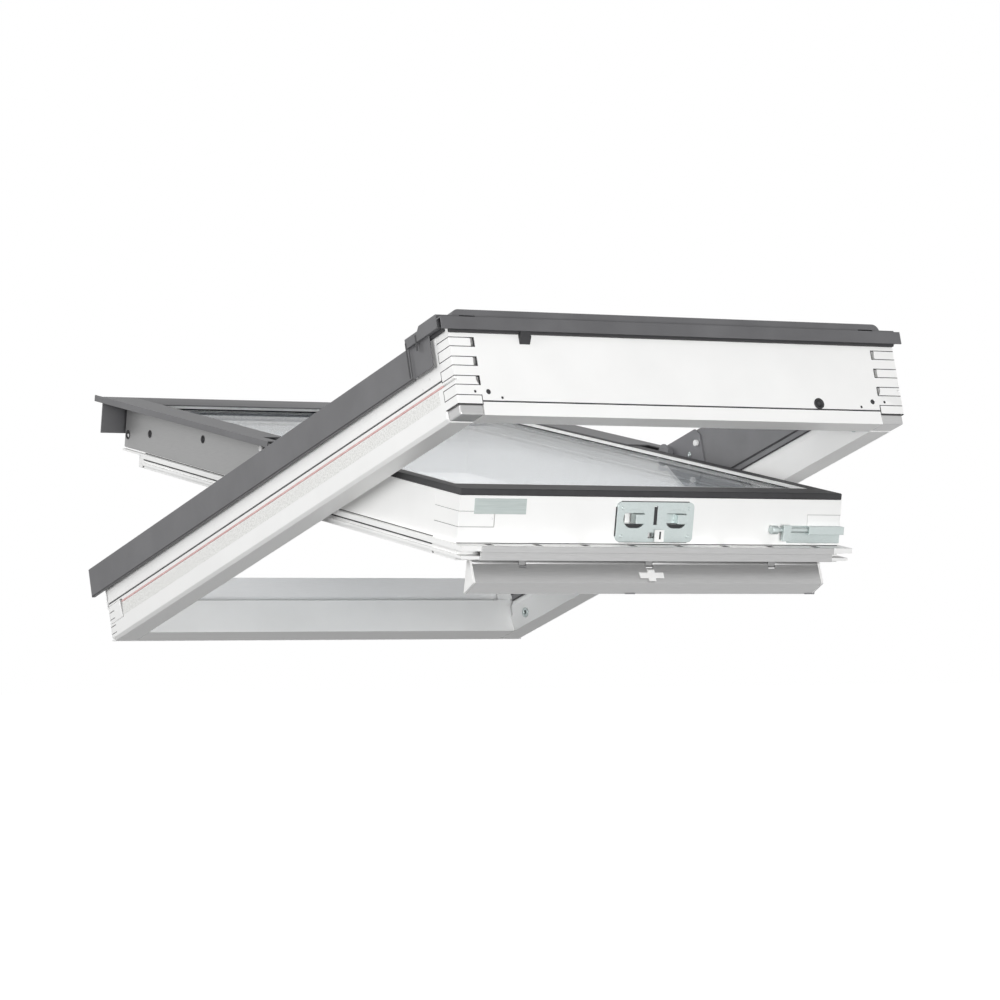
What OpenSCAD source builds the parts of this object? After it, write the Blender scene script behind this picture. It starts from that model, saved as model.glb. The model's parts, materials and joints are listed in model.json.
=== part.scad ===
// Centre-pivot roof window, shown half open on a low roof pitch.
// Built in the plane of the roof: x runs across, y runs from the head down to the sill,
// z points out of the roof. The frame is then pitched, and the sash is turned on its pivot.

/* [Whole window] */
// Outer width of the frame
frame_w = 780; // [640:1:1140]
// Outer length of the frame, head to sill
frame_h = 1178; // [1000:1:1400]
// Pitch of the roof
roof_pitch = 16.4; // [12:0.1:30]
// How far the sash stands open
sash_opening = 25.2; // [15:0.1:30]

/* [Frame] */
// Height of the head and jambs, from the room side to the covers
frame_d = 132; // [126:1:142]
// Thickness of a jamb
jamb_t = 42; // [38:1:60]
// Thickness of the head
head_t = 36; // [30:1:50]
// Thickness of the sill at its foot
sill_t = 50; // [44:1:54]
// How far the sill's inner face leans back over its height
sill_lean = 10; // [0:1:14]
// Height of the sill
sill_h = 58; // [50:1:62]
// Bevel along the jamb's lower outer edge
edge_bevel = 5; // [3:0.5:8]
// Height of the jamb's inner step, where the lining starts
step_z = 53; // [46:1:54]
// Height of the slanted face under the jamb's step
step_rise = 11; // [6:1:14]
// Depth of the jamb's step
step_in = 6; // [4:0.5:8]
// Height of a jamb's first finger at the head
finger_first = 16.5; // [12:0.5:20]
// Height of each finger
finger_h = 13.5; // [11:0.5:15]
// Spacing of the fingers
finger_pitch = 29; // [26:0.1:34]
// Least height of the head over the last finger
finger_least = 10; // [6:1:14]
// Height of the jamb's lap under the sill
sill_lap = 28; // [24:1:34]
// Glue gap round each finger
glue_gap = 0.2; // [0.1:0.05:0.4]
// Height of the saw kerf along the head
kerf_z = 20; // [16:1:24]
// Width of a groove sawn in the frame
groove_w = 2.4; // [1.6:0.1:4]
// Depth of a groove sawn in the frame
groove_d = 5; // [3:0.5:8]
// Height of the groove along the jamb's outer face
jamb_groove_z = 61; // [58:1:68]
// Height of the red seal along the jamb's outer face
seal_z = 52; // [46:0.5:54]
// Width of the red seal
seal_w = 2.6; // [2:0.1:4]
// How far the red seal stands out of its groove
seal_proud = 0.8; // [0.4:0.1:2]
// Diameter of the fixing holes in the head
fixing_d = 8; // [5:0.1:9]
// Distance of a fixing hole from the side of the frame
fixing_inset = 53.5; // [50:0.5:64]
// Height of the fixing holes
fixing_z = 35.5; // [34:0.5:50]
// Diameter of the pilot holes beside a fixing hole
pilot_d = 4.5; // [3:0.1:6]
// Spacing of the pilot holes from the fixing hole
pilot_step = 22; // [18:0.5:26]
// Drop of the inner pilot hole below the fixing hole
pilot_drop = 8.5; // [0:0.5:9]
// Depth of the fixing and pilot holes
fixing_depth = 24; // [16:1:28]
// Diameter of the cable hole in the head
cable_d = 14; // [10:0.5:18]
// Place of the cable hole, right of the middle
cable_x = 237; // [150:1:250]
// Height of the cable hole
cable_z = 30; // [29:1:42]

/* [Covers] */
// Thickness of the cover sheet
cover_t = 2; // [1.2:0.1:3]
// Height of a side cover's outer flange
side_cover_drop = 48; // [36:1:54]
// Gap between a side cover's flange and the jamb
side_cover_stand = 6; // [4:0.5:9]
// Length of a side cover past the sill
side_cover_tail = 41; // [30:1:60]
// Length of the corner piece at the head
corner_len = 110; // [80:1:130]
// Height of the corner piece over the side cover
corner_rise = 19; // [12:1:24]
// Drop of the corner piece's lower step
corner_drop = 6; // [4:0.5:8]
// Length of the corner piece's lower step
corner_step = 45; // [30:1:60]
// How far the corner piece stands out from the jamb
corner_stand = 13; // [12:0.5:16]
// Length of the corner piece's skirt
corner_skirt = 60; // [40:1:70]
// Height of the head cover over the head
hood_rise = 30; // [26:1:44]
// How far the head cover stands in front of the head
hood_front = 8; // [6:1:14]
// How far the head cover's raised part is set back from its front band
hood_set = 14; // [10:1:18]
// Height of the head cover's front band over the head
band_rise = 14; // [10:1:18]
// How far the front band hangs down over the head
hood_lip = 5; // [3:0.5:7]
// How far the head cover reaches in over the sash
hood_reach = 50; // [40:1:60]
// Inset of the head cover's raised part from the sides of the frame
hood_inset = 14; // [12:1:40]
// Radius of the head cover's upper corners
hood_r = 12; // [6:1:18]
// Length of the slots in the head cover
hood_slot_l = 27; // [20:1:40]
// Height of the slots in the head cover
hood_slot_h = 3; // [2:0.5:5]
// Distance of a slot from the end of the head cover
hood_slot_inset = 26; // [26:1:60]
// Width of the clip under the head cover
clip_w = 17; // [12:1:24]
// Length of the clip under the head cover
clip_drop = 18; // [12:1:24]
// Place of the clip, left of the middle
clip_x = 264; // [200:1:270]
// Height of the sill cover
sill_cover_h = 110; // [102:1:112]
// How far the sill cover's upstand stands off the sill
sill_cover_stand = 4; // [3:0.5:4.5]
// Room over the seal on the sill
sill_seal_clear = 0.8; // [0.4:0.1:1.2]
// Wall of the seal on the sill
sill_seal_t = 1.4; // [0.8:0.1:1.5]
// Height of the jamb lining beside the upper half of the sash
lining_h = 154; // [148:1:156]

/* [Sash] */
// Gap between a jamb and the side of the sash
side_gap = 11.8; // [11.4:0.1:14]
// Gap between the head and the top rail, the way the air comes in
top_gap = 31.4; // [31:0.1:40]
// Distance from the sash's lower end to the frame's lower end
end_inset = 3.6; // [2:0.1:6]
// Gap between the sill and the sash above it
sill_gap = 6.7; // [4:0.1:8]
// Depth of the sash above its lip
sash_d = 69.3; // [66:0.1:74]
// Width of the stiles
stile_w = 60; // [50:1:75]
// Width of the top rail
top_rail_w = 70; // [60:1:85]
// Width of the bottom rail
bottom_rail_w = 75; // [70:1:90]
// Depth of the sash's foot on the room side
foot_d = 26; // [22:0.5:28]
// How far the lip stands out at the sides
side_lip = 8; // [5:0.5:9]
// How far the lip stands out at the top
top_lip = 27.5; // [22:0.5:28]
// Thickness of the lip
lip_t = 7.8; // [6:0.2:9]
// Height of the lower lip over the foot of the sash
low_lip_z = 5; // [3:0.5:7]
// Thickness of the lower lip
low_lip_t = 4.4; // [3:0.2:6]
// How far the lower lip is set back from the upper one
low_lip_set = 4; // [4:0.5:5]
// Thickness of the lip's fin over the sill
fin_t = 3; // [2:0.5:4]
// Distance of the fin's tip from the sash's lower end
fin_end = 6; // [4:0.5:20]
// Height of the shadow groove over the lip
shadow_h = 1.2; // [0.8:0.1:2]
// Depth of the shadow groove over the lip
shadow_d = 3; // [1:0.5:5]
// Bevel along the inner edge of the foot
foot_bevel = 8; // [4:0.5:12]
// Height of the first finger at a sash corner
sash_finger = 23; // [20:0.5:26]
// Distance of the small holes in the top rail from the sides of the sash
rail_hole_inset = 26; // [20:1:30]
// Height of the small holes in the top rail over its lip
rail_hole_z = 39; // [30:1:42]
// Depth of the small holes in the top rail
rail_hole_depth = 10; // [6:1:16]
// Length of the air slots at the foot of the top rail
air_slot_l = 15; // [10:1:24]
// Width of the air slots
air_slot_w = 20; // [12:1:21]
// Spacing of the air slots
air_slot_pitch = 82; // [60:1:100]

/* [Glass] */
// Thickness of a pane
pane_t = 4; // [3:0.5:6]
// Gap between the panes
pane_gap = 14; // [10:1:16]
// Width of the rebate that holds the glass
rebate_w = 20; // [16:1:26]
// Thickness of the seal under the glass
seat_t = 2; // [1:0.5:3]
// Clearance round the glass
glass_clear = 3; // [2:0.5:5]
// Width of the spacer bar
spacer_w = 9; // [6:0.5:12]
// Inset of the spacer bar from the edge of the glass
spacer_inset = 2; // [1:0.5:4]
// Distance of the outer pane's edges from the sides of the sash
outer_side = 12; // [10:0.5:16]
// Distance of the outer pane's edge from the top of the sash
outer_top = 46; // [36:1:50]
// Clearance of the outer gasket round the outer pane
gasket_clear = 1; // [0.5:0.1:2]
// Height of the outer gasket over the sash
gasket_h = 10; // [8:0.5:14]
// How far the outer gasket laps over the glass
gasket_lap = 11; // [10:0.5:14]

/* [Sash covers] */
// Reach of the overlap strip past the side of the sash
strip_reach = 42; // [36:0.5:44]
// Gap between the overlap strip's edge and the side cover
strip_clear = 1.6; // [1:0.1:3]
// Distance of the overlap strips from the pivot
strip_start = 75; // [72:1:110]
// Distance of the overlap strips' outer noses from the pivot
strip_nose = 16; // [14:1:40]
// Length of the overlap strip's edge past the drip
strip_tail = 28; // [10:1:40]
// Width of the overlap strip on the sash
strip_lap = 20; // [16:0.5:22]
// Width of the cover along the sash's lower end
end_cover_w = 84; // [74:1:100]
// Gap between the sash's lower end and the drip
drip_gap = 14; // [13:0.5:20]
// Height of the drip's lower edge
drip_z = 86; // [72:1:102]
// Thickness of the side plates
plate_t = 1.5; // [1:0.1:2.5]
// Height of the side plates
plate_h = 65; // [56:0.5:65]
// Diameter of the round hole at the end of a side plate
ring_d = 14; // [8:0.5:18]
// Distance of the round hole from the end of a side plate
ring_end = 10; // [10:0.5:20]
// Height of the round hole over the lip
ring_z = 22; // [16:1:40]
// Depth of the holes behind a side plate
plate_hole_depth = 8; // [4:1:12]
// Diameter of the smaller holes in a side plate
plate_hole_d = 12; // [6:0.5:14]
// Distance of the first smaller hole from the end of a side plate
near_hole = 91; // [50:1:120]
// Height of the first smaller hole over the lip
near_hole_z = 33; // [16:1:44]
// Distance of the second smaller hole from the end of a side plate
far_hole = 282; // [200:1:340]
// Height of the second smaller hole over the lip
far_hole_z = 48; // [20:1:50]

/* [Pivot] */
// Distance of the pivot from the middle of the frame, towards the head
pivot_shift = 11; // [0:0.5:16]
// Height of the pivot over the frame
pivot_rise = 10; // [6:0.5:12]
// Diameter of the pivot pin
pin_d = 14; // [10:0.5:16]
// Running clearance round the pivot pin and the flap rod
run_clear = 0.05; // [0.03:0.01:0.08]
// Clearance at the end of the pivot pin
pin_end_clear = 0.3; // [0.2:0.05:0.5]
// Width of the collar round the pivot pin
collar_w = 3; // [2:0.5:5]
// Height of the frame hinge's foot over the jamb's step
hinge_foot = 16; // [10:1:24]
// Bevel at the corners of the frame hinge
hinge_bevel = 12; // [8:1:14]
// Distance of the sash hinge's edges from the edges of the stile
hinge_edge = 16; // [12:1:20]
// Thickness of a hinge plate
hinge_t = 3; // [2:0.1:3.4]
// Length of the hinge plate on the frame, towards the head
hinge_head = 92; // [90:1:110]
// Length of the hinge plate on the frame, towards the sill
hinge_tail = 45; // [36:1:56]
// Half length of the hinge plate on the sash
hinge_half = 56; // [40:1:60]
// Radius of the hinge eye
eye_r = 14; // [12:0.5:15]
// Diameter of the nylon rollers
roller_d = 10; // [8:0.5:11]
// Distance of the sash's glide from the end of its side plate
glide_y = 32; // [16:1:40]
// Length of the nylon rollers
roller_l = 5; // [3:0.5:5.4]

/* [Air flap] */
// Length of the air flap
flap_l = 618; // [520:1:630]
// How far the air flap's ridge stands out in front of the top rail
flap_out = 10.4; // [6:0.2:11]
// Drop of the air flap's ridge below its rod
flap_ridge = 26; // [22:0.5:28]
// Drop of the air flap's lower edge below its rod
flap_foot = 46; // [40:0.5:48]
// Distance of the air flap's lower edge behind its ridge
flap_back = 26; // [18:0.5:30]
// Wall of the air flap
flap_t = 3.6; // [2.4:0.1:4]
// Diameter of the flap's hinge rod
rod_d = 5; // [4:0.5:6]
// Distance of the hinge knuckles behind the face of the top rail
knuckle_set = 4; // [3:0.5:6]
// Wall of the hinge knuckles
knuckle_t = 2.5; // [2:0.1:3]
// Width of a hinge bracket
bracket_w = 12; // [8:1:18]
// Spacing of the hinge brackets
bracket_pitch = 220; // [150:1:240]
// Clearance beside a hinge bracket
bracket_clear = 0.5; // [0.3:0.1:1]
// Thickness of the flap's end caps
cap_t = 4; // [3:0.5:6]
// Width of the clip on the flap
flap_clip_w = 42; // [30:1:60]
// Width of the clip's stem
flap_clip_stem = 12; // [8:1:16]
// Height of the clip's crosspiece
flap_clip_h = 8; // [5:0.5:10]
// Distance of the clip's crosspiece below the hinge rod
flap_clip_drop = 15; // [12:0.5:18]
// Thickness of the clip
flap_clip_t = 3; // [2:0.1:4]
// Length of the front bar over the flap
bar_l = 620; // [560:1:630]
// Height of the front bar below the lip
bar_h = 13.6; // [12:0.2:16]
// Thickness of the front bar
bar_t = 1.6; // [1:0.1:1.8]

/* [Lock and bolt] */
// Width of the lock plate
lock_w = 135; // [120:1:150]
// Height of the lock plate
lock_h = 60; // [56:1:62]
// Corner radius of the lock plate
lock_r = 8; // [3:0.5:10]
// Distance from the middle of the lock plate to the sash's lip
lock_rise = 33; // [30.5:0.5:34]
// Thickness of the lock plate
lock_t = 4; // [2:0.5:5]
// Spacing of the lock claws
claw_pitch = 74; // [70:1:80]
// Width of a lock claw
claw_w = 16; // [12:0.5:18]
// Height of a lock claw
claw_h = 14; // [10:0.5:16]
// Height of the claws over the middle of the lock plate
claw_rise = 5; // [3:0.5:7]
// Height of a claw's window in the lock plate
window_h = 28; // [24:0.5:30]
// Room at the ends of a claw's travel
claw_room = 4; // [3:0.5:5]
// How far the claws stand out of the top rail
claw_out = 10; // [8:0.5:12]
// Sideways travel of the lock slide
lock_travel = 14; // [13:0.5:14]
// Thickness of the lock slide
slide_t = 3; // [2:0.5:4]
// Width and height of the stud that carries the pull link
stud_w = 6; // [4:0.5:7]
// Height of the stud over the sash's lip
stud_z = 10; // [9.5:0.5:11]
// Width of the key slot in the lock plate
key_slot_w = 6; // [4:0.5:8]
// Length of the key slot in the lock plate
key_slot_l = 28; // [16:1:30]
// Distance of the key slot from the top of the lock plate
key_slot_drop = 6; // [5:0.5:9]
// Depth of the pocket behind the lock plate
pocket_d = 12; // [8:1:16]
// Width of the pull link
link_w = 16; // [10:1:20]
// Height of the pull link
link_h = 18; // [10:1:20]
// Thickness of the pull link
link_t = 3; // [2:0.5:4]
// Height of the keeper's plate over its ledge
keeper_up = 24; // [16:1:28]
// Height of the keeper's plate below its ledge
keeper_down = 10; // [6:1:14]
// Clearance round the lock slide
lock_clear = 1; // [0.6:0.1:1.5]
// Width of the bare name plate
label_w = 88; // [60:1:100]
// Distance of the bare name plate from the side of the sash
label_inset = 25; // [10:1:40]
// Distance of the bare name plate from the top of the rail
label_drop = 4; // [2:0.5:10]
// Thickness of the bare name plate
label_t = 0.8; // [0.4:0.1:1.5]
// Height of the bare name plate
label_h = 23; // [15:0.5:24]
// Diameter of the barrel bolt
bolt_d = 8; // [6:0.5:9]
// Clearance round the barrel bolt
bolt_clear = 0.2; // [0.1:0.05:0.4]
// Length of the barrel bolt
bolt_l = 130; // [126:1:132]
// Travel of the barrel bolt
bolt_travel = 20; // [16:0.5:21]
// Wall of the barrel bolt's housing
housing_wall = 2; // [1.5:0.1:2.4]
// Length of the plate behind the barrel bolt
housing_plate = 96; // [80:1:98]
// Gap between the housing and the sash's lip
housing_gap = 3; // [2:0.5:5]
// Diameter of the knob at the end of the bolt
knob_d = 13; // [10:0.5:13]
// Length of the knob at the end of the bolt
knob_l = 11; // [8:0.5:12]
// Distance of the thumb tab from the end of the bolt
tab_x = 18; // [16:0.5:20]
// Width of the thumb tab
tab_w = 14; // [8:0.5:14]
// Height of the thumb tab over the bolt's axis
tab_up = 8; // [6:0.5:12]
// Height of the thumb tab below the bolt's axis
tab_down = 16; // [8:0.5:18]
// Length of the barrel bolt's housing
housing_l = 64; // [50:1:66]
// Height of the bolt's axis over the sash's lip
bolt_z = 23.5; // [19:0.5:26]
// Distance of the bolt's axis from the top rail
bolt_off = 7; // [6.5:0.5:9]
// Height of the bolt's bushes in the jamb
bush_z = 20; // [14:0.5:24]
// Wall of the bush
bush_wall = 2; // [1.5:0.1:2.4]
// Diameter of the bush's flange
bush_d = 17; // [14:0.5:20]

/* [Hidden] */
$fn = 64;

// Overlap of a cut past the face that it opens
eps = 1;

// Frame planes
jamb_x = frame_w / 2;
jamb_in = jamb_x - jamb_t;
head_y = -frame_h / 2;
head_in = head_y + head_t;
sill_y = frame_h / 2;
sill_in = sill_y - sill_t;
lining_x = jamb_in + step_in;
lining_in = lining_x - cover_t;
cover_z = frame_d + cover_t;
cover_x = jamb_x + side_cover_stand;
corner_y = head_y - hood_front + corner_len;

// Sash planes with the window shut
sash_x = jamb_in - side_gap;
sash_top = head_in + top_gap;
sash_end = sill_y - end_inset;
sash_z = sill_h + sill_gap;
sash_out = sash_z + sash_d;
lip_z = sash_z - shadow_h - lip_t;
foot_z = sash_z - foot_d;
foot_end = sill_in - side_lip;
pivot_y = -pivot_shift;
pivot_z = frame_d + pivot_rise;

// Glass planes
seat_z = sash_out - pane_gap - pane_t - seat_t;
pane_x = sash_x - stile_w + rebate_w - glass_clear;
pane_y0 = sash_top + top_rail_w - rebate_w + glass_clear;
pane_y1 = sash_end - bottom_rail_w + rebate_w - glass_clear;
gasket_z = max(sash_out, cover_z) + gasket_h;
strip_z = cover_z + strip_clear;
drip_y = sash_end + drip_gap;

// Flap, lock and bolt places
knuckle_r = rod_d / 2 + knuckle_t;
flap_y = sash_top + knuckle_r + knuckle_set;
flap_z = foot_z - knuckle_r - bracket_clear;
flap_bend = [[flap_y - knuckle_r, flap_z], [sash_top - flap_out, flap_z - flap_ridge],
    [sash_top - flap_out + flap_back, flap_z - flap_foot]];
lock_mid = sash_z + lock_rise;
claw_z = lock_mid + claw_rise;
claw_x = lock_travel / 2;
stud_low = sash_z + stud_z;
bolt_axis_z = sash_z + bolt_z;
bolt_axis_y = sash_top - bolt_off;
bolt_radius = norm([bolt_axis_y - pivot_y, bolt_axis_z - pivot_z]);
bush_y = pivot_y + sqrt(bolt_radius ^ 2 - (pivot_z - bush_z) ^ 2);
vent_y = 2 * pivot_y - bush_y;

// Colours
white = "#f4f4f2";
dark_grey = "#6c6c6e";
light_grey = "#b0b0b0";
rubber_black = "#2a2a2c";
zinc = "#c4cad0";

// Placing

module roof() rotate([-roof_pitch, 0, 0]) children();

module open_sash()
    roof() translate([0, pivot_y, pivot_z]) rotate([sash_opening, 0, 0])
        translate([0, -pivot_y, -pivot_z]) children();

module left_of() mirror([1, 0, 0]) children();

// Extrudes a (y, z) outline from x0 to x1
module along_x(x0, x1)
    translate([x0, 0, 0]) rotate([90, 0, 90]) linear_extrude(x1 - x0) children();

// Extrudes an (x, z) outline from y0 to y1
module along_y(y0, y1) translate([0, y1, 0]) rotate([90, 0, 0]) linear_extrude(y1 - y0) children();

// A box between two corners
module block(lo, hi) translate(lo) cube(hi - lo);

module pin_x(x0, x1, y, z, d) translate([x0, y, z]) rotate([0, 90, 0]) cylinder(d = d, h = x1 - x0);

module pin_y(x, y0, y1, z, d) translate([x, y1, z]) rotate([90, 0, 0]) cylinder(d = d, h = y1 - y0);

// Frame

// Heights at which the jambs' fingers start at the head
finger_starts = [for (z = finger_first; z + finger_h < frame_d - finger_least; z = z + finger_pitch) z];

// A fixing hole with a pilot hole on each side near both ends, and the cable hole right through
module head_holes() {
    for (s = [-1, 1], i = [-1, 0, 1])
        pin_y(s * (jamb_x - fixing_inset + i * pilot_step), head_y - eps, head_y + fixing_depth,
            i < 0 ? fixing_z - pilot_drop : fixing_z, i == 0 ? fixing_d : pilot_d);
    pin_y(cable_x, head_y - eps, head_in + eps, cable_z, cable_d);
}

module frame_head() color(white) roof() difference() {
    block([-jamb_x, head_y, 0], [jamb_x, head_in, frame_d]);
    for (s = [0, 1], z = finger_starts) mirror([s, 0, 0])
        block([jamb_in - glue_gap, head_y - eps, z == finger_first ? -eps : z - glue_gap],
            [jamb_x + eps, head_in + eps, z + finger_h + glue_gap]);
    block([-jamb_in, head_y - eps, kerf_z], [jamb_in, head_y + groove_d, kerf_z + groove_w]);
    head_holes();
}

module frame_sill() color(white) roof() difference() {
    along_x(-jamb_x, jamb_x)
        polygon([[sill_y, 0], [sill_y, sill_h], [sill_in + sill_lean, sill_h], [sill_in, 0]]);
    for (s = [0, 1]) mirror([s, 0, 0])
        block([jamb_in - glue_gap, sill_in - eps, -eps], [jamb_x + eps, sill_y + eps, sill_lap + glue_gap]);
}

// A jamb, drawn on the right: fingers for the head, a lap for the sill, a step for the lining,
// and the two grooves along its outer face
module jamb_body() difference() {
    along_y(head_y, sill_y)
        polygon([[jamb_x, edge_bevel], [jamb_x, frame_d], [lining_x, frame_d], [lining_x, step_z],
            [jamb_in, step_z - step_rise], [jamb_in, 0], [jamb_x - edge_bevel, 0]]);
    for (i = [0 : len(finger_starts)])
        block([jamb_in - eps, head_y - eps, i == 0 ? -eps : finger_starts[i - 1] + finger_h],
            [jamb_x + eps, head_in + glue_gap, i == len(finger_starts) ? frame_d + eps : finger_starts[i]]);
    block([jamb_in - eps, sill_in - glue_gap, sill_lap - glue_gap],
        [jamb_x + eps, sill_y + eps, sill_h + glue_gap]);
    block([jamb_x - groove_d, head_y - eps, jamb_groove_z],
        [jamb_x + eps, sill_y + eps, jamb_groove_z + groove_w]);
    block([jamb_x - groove_d, head_y - eps, seal_z], [jamb_x + eps, sill_y + eps, seal_z + seal_w]);
}

module frame_jamb_left() color(white) roof() left_of() jamb_body();

// The hole that the bolt goes into with the window shut, from x0 into the jamb
module shut_hole(x0) pin_x(x0, jamb_in + bolt_travel, bolt_axis_y, bolt_axis_z, bolt_d + 4 * bolt_clear);

module frame_jamb_right() color(white) roof() difference() {
    jamb_body();
    for (y = [bush_y, vent_y])
        pin_x(jamb_in - eps, jamb_in + bolt_travel, y, bush_z, bolt_d + 2 * bush_wall);
    shut_hole(lining_x - eps);
}

// The red seal pressed into the lower groove of a jamb
module jamb_seal()
    block([jamb_x - groove_d, head_in + glue_gap, seal_z],
        [jamb_x + seal_proud, sill_in - glue_gap, seal_z + seal_w]);

module jamb_seal_left() color("#b8544e") roof() left_of() jamb_seal();

module jamb_seal_right() color("#b8544e") roof() jamb_seal();

// The metal lining on the inside of a jamb, taller beside the upper half of the sash
module jamb_lining() {
    lower_y = sill_in - glue_gap;
    upper_y = pivot_y + hinge_tail;
    along_x(lining_in, lining_x)
        polygon([[head_in, step_z + cover_t], [head_in, lining_h], [upper_y, lining_h],
            [upper_y + lining_h - frame_d, frame_d], [lower_y, frame_d], [lower_y, step_z + cover_t]]);
}

module jamb_lining_left() color(dark_grey) roof() left_of() jamb_lining();

module jamb_lining_right() color(dark_grey) roof() difference() {
    jamb_lining();
    shut_hole(lining_in - eps);
}

// Covers

// A side cover: top sheet on the jamb, an outer flange, and a return at the flange's foot.
// Past the sill only the flange goes on.
module side_cover() {
    foot = cover_z - side_cover_drop;
    along_y(corner_y, sill_y + side_cover_tail)
        polygon([[cover_x, cover_z], [cover_x + cover_t, cover_z], [cover_x + cover_t, foot],
            [jamb_x + cover_t, foot], [jamb_x + cover_t, foot + cover_t], [cover_x, foot + cover_t]]);
    block([lining_x, corner_y, frame_d], [cover_x + cover_t, sill_y, cover_z]);
}

module side_cover_left() color(dark_grey) roof() left_of() side_cover();

module side_cover_right() color(dark_grey) roof() side_cover();

// The stepped piece that closes the corner between the head cover and a side cover: a box that is open
// towards the head cover, with a skirt down to the foot of the side cover
module head_corner() {
    x0 = jamb_x - hood_inset;
    x1 = jamb_x + corner_stand;
    y0 = head_y - hood_front + hood_set;
    y1 = corner_y - cover_t / 2;
    difference() {
        along_x(x0, x1) corner_outline(y0, y1, frame_d, cover_z + corner_rise);
        along_x(x0 - eps, x1 - cover_t)
            corner_outline(y0 + cover_t, y1 - cover_t, frame_d + cover_t, cover_z + corner_rise - cover_t);
    }
    block([cover_x, y1 - corner_skirt, cover_z - side_cover_drop], [cover_x + cover_t, y1, cover_z]);
}

// Side outline of the corner piece, with its lower step towards the sill
module corner_outline(y0, y1, z0, z1)
    polygon([[y0, z0], [y0, z1], [corner_y - corner_step, z1],
        [corner_y - corner_step + corner_drop, z1 - corner_drop], [y1, z1 - corner_drop], [y1, z0]]);

module head_corner_left() color(dark_grey) roof() left_of() head_corner();

module head_corner_right() color(dark_grey) roof() head_corner();

// Front outline of the head cover, with rounded upper corners
module hood_front_outline(x, z0, z1)
    union() {
        translate([-x, z0]) square([2 * x, z1 - z0 - hood_r]);
        translate([-x + hood_r, z0]) square([2 * (x - hood_r), z1 - z0]);
        for (s = [-1, 1]) translate([s * (x - hood_r), z1 - hood_r]) circle(hood_r);
    }

// The head cover: a hollow hood that stands on the head and reaches in over the sash, and its front band
module head_cover() {
    x = jamb_x - hood_inset;
    band_x = jamb_x + corner_stand;
    y0 = head_y - hood_front;
    raised_y = y0 + hood_set;
    y1 = head_in + hood_reach;
    band_z = frame_d + band_rise;
    z1 = frame_d + hood_rise;
    color(dark_grey) roof() difference() {
        union() {
            along_y(raised_y, y1) hood_front_outline(x, frame_d, z1);
            block([-band_x, y0, frame_d - hood_lip], [band_x, y0 + cover_t, band_z]);
            block([-band_x, y0, band_z - cover_t], [band_x, raised_y - glue_gap, band_z]);
            block([-x + hood_r, y0, band_z - cover_t], [x - hood_r, raised_y + cover_t, band_z]);
        }
        along_y(raised_y + cover_t, head_in)
            hood_front_outline(x - cover_t, frame_d + cover_t, z1 - cover_t);
        along_y(head_in - eps, y1 + eps) hood_front_outline(x - cover_t, frame_d - eps, z1 - cover_t);
        block([-x - eps, head_in, frame_d - eps], [x + eps, y1 + eps, z1 - hood_r]);
        for (s = [-1, 1])
            block([s * (x - hood_slot_inset) - hood_slot_l / 2, raised_y - eps, z1 - hood_r],
                [s * (x - hood_slot_inset) + hood_slot_l / 2, raised_y + cover_t + eps,
                    z1 - hood_r + hood_slot_h]);
    }
}

// The spring clip that hooks the head cover's band to the head
module cover_clip() {
    y0 = head_y - hood_front;
    z1 = frame_d - hood_lip;
    color(rubber_black) roof() along_x(-clip_x - clip_w / 2, -clip_x + clip_w / 2)
        polygon([[head_y, z1], [y0, z1], [y0, z1 - clip_drop / 2], [head_y - cover_t, z1 - clip_drop],
            [head_y, z1 - clip_drop]]);
}

// The sill cover: a folded sheet on the sill's outer face, with an upstand behind the sash
module sill_cover() {
    y1 = sill_y + sill_cover_stand;
    bend = sill_h - 2 * cover_t;
    color(light_grey) roof() along_x(-jamb_x, jamb_x)
        polygon([[sill_y, 0], [sill_y, bend], [y1, bend + 2 * cover_t], [y1, sill_cover_h],
            [y1 + cover_t, sill_cover_h], [y1 + cover_t, bend + cover_t], [sill_y + cover_t, bend - cover_t],
            [sill_y + cover_t, 0]]);
}

// The hollow seal on the sill that the sash shuts on
module sill_gasket() {
    r = (sill_gap - sill_seal_clear) / 2;
    y = (sill_in + sill_lean + sill_y) / 2;
    color(rubber_black) roof() difference() {
        along_x(-sash_x + cover_t, sash_x - cover_t) translate([y, sill_h + r]) circle(r);
        along_x(-jamb_in, jamb_in) translate([y, sill_h + r]) circle(r - sill_seal_t);
    }
}

// The keeper on the head: a ledge with a notch for each claw. The claws pass the notches with the lock
// undone, and lie over the ledge with the slide moved across.
module keeper() {
    z1 = claw_z - claw_h / 2 - lock_clear;
    x = claw_pitch / 2 + lock_travel + claw_w;
    color(zinc) roof() difference() {
        union() {
            block([-x, head_in, z1 - keeper_down], [x, head_in + cover_t, z1 + keeper_up]);
            block([-x, head_in, z1 - cover_t], [x, sash_top - lock_t - lock_clear, z1]);
        }
        for (s = [-1, 1]) {
            translate([s * claw_pitch / 2 + claw_x, 0, z1])
                block([-claw_w / 2 - claw_room, head_in + cover_t, -cover_t - eps],
                    [claw_w / 2 + claw_room, sash_top, eps]);
            pin_y(s * claw_pitch / 4, head_in - eps, head_in + cover_t + eps,
                z1 + keeper_up - pilot_d, pilot_d);
        }
    }
}

// The bushes in the right jamb that take the bolt with the sash a little open or turned right over
module bolt_bush() color(zinc) roof() for (y = [bush_y, vent_y]) difference() {
    union() {
        pin_x(jamb_in - cover_t, jamb_in, y, bush_z, bush_d);
        pin_x(jamb_in - cover_t, jamb_in + bolt_travel - bush_wall, y, bush_z,
            bolt_d + 2 * bush_wall - 2 * bolt_clear);
    }
    pin_x(jamb_in - cover_t - eps, jamb_in + bolt_travel, y, bush_z, bolt_d + 4 * bolt_clear);
}

// Pivot

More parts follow.
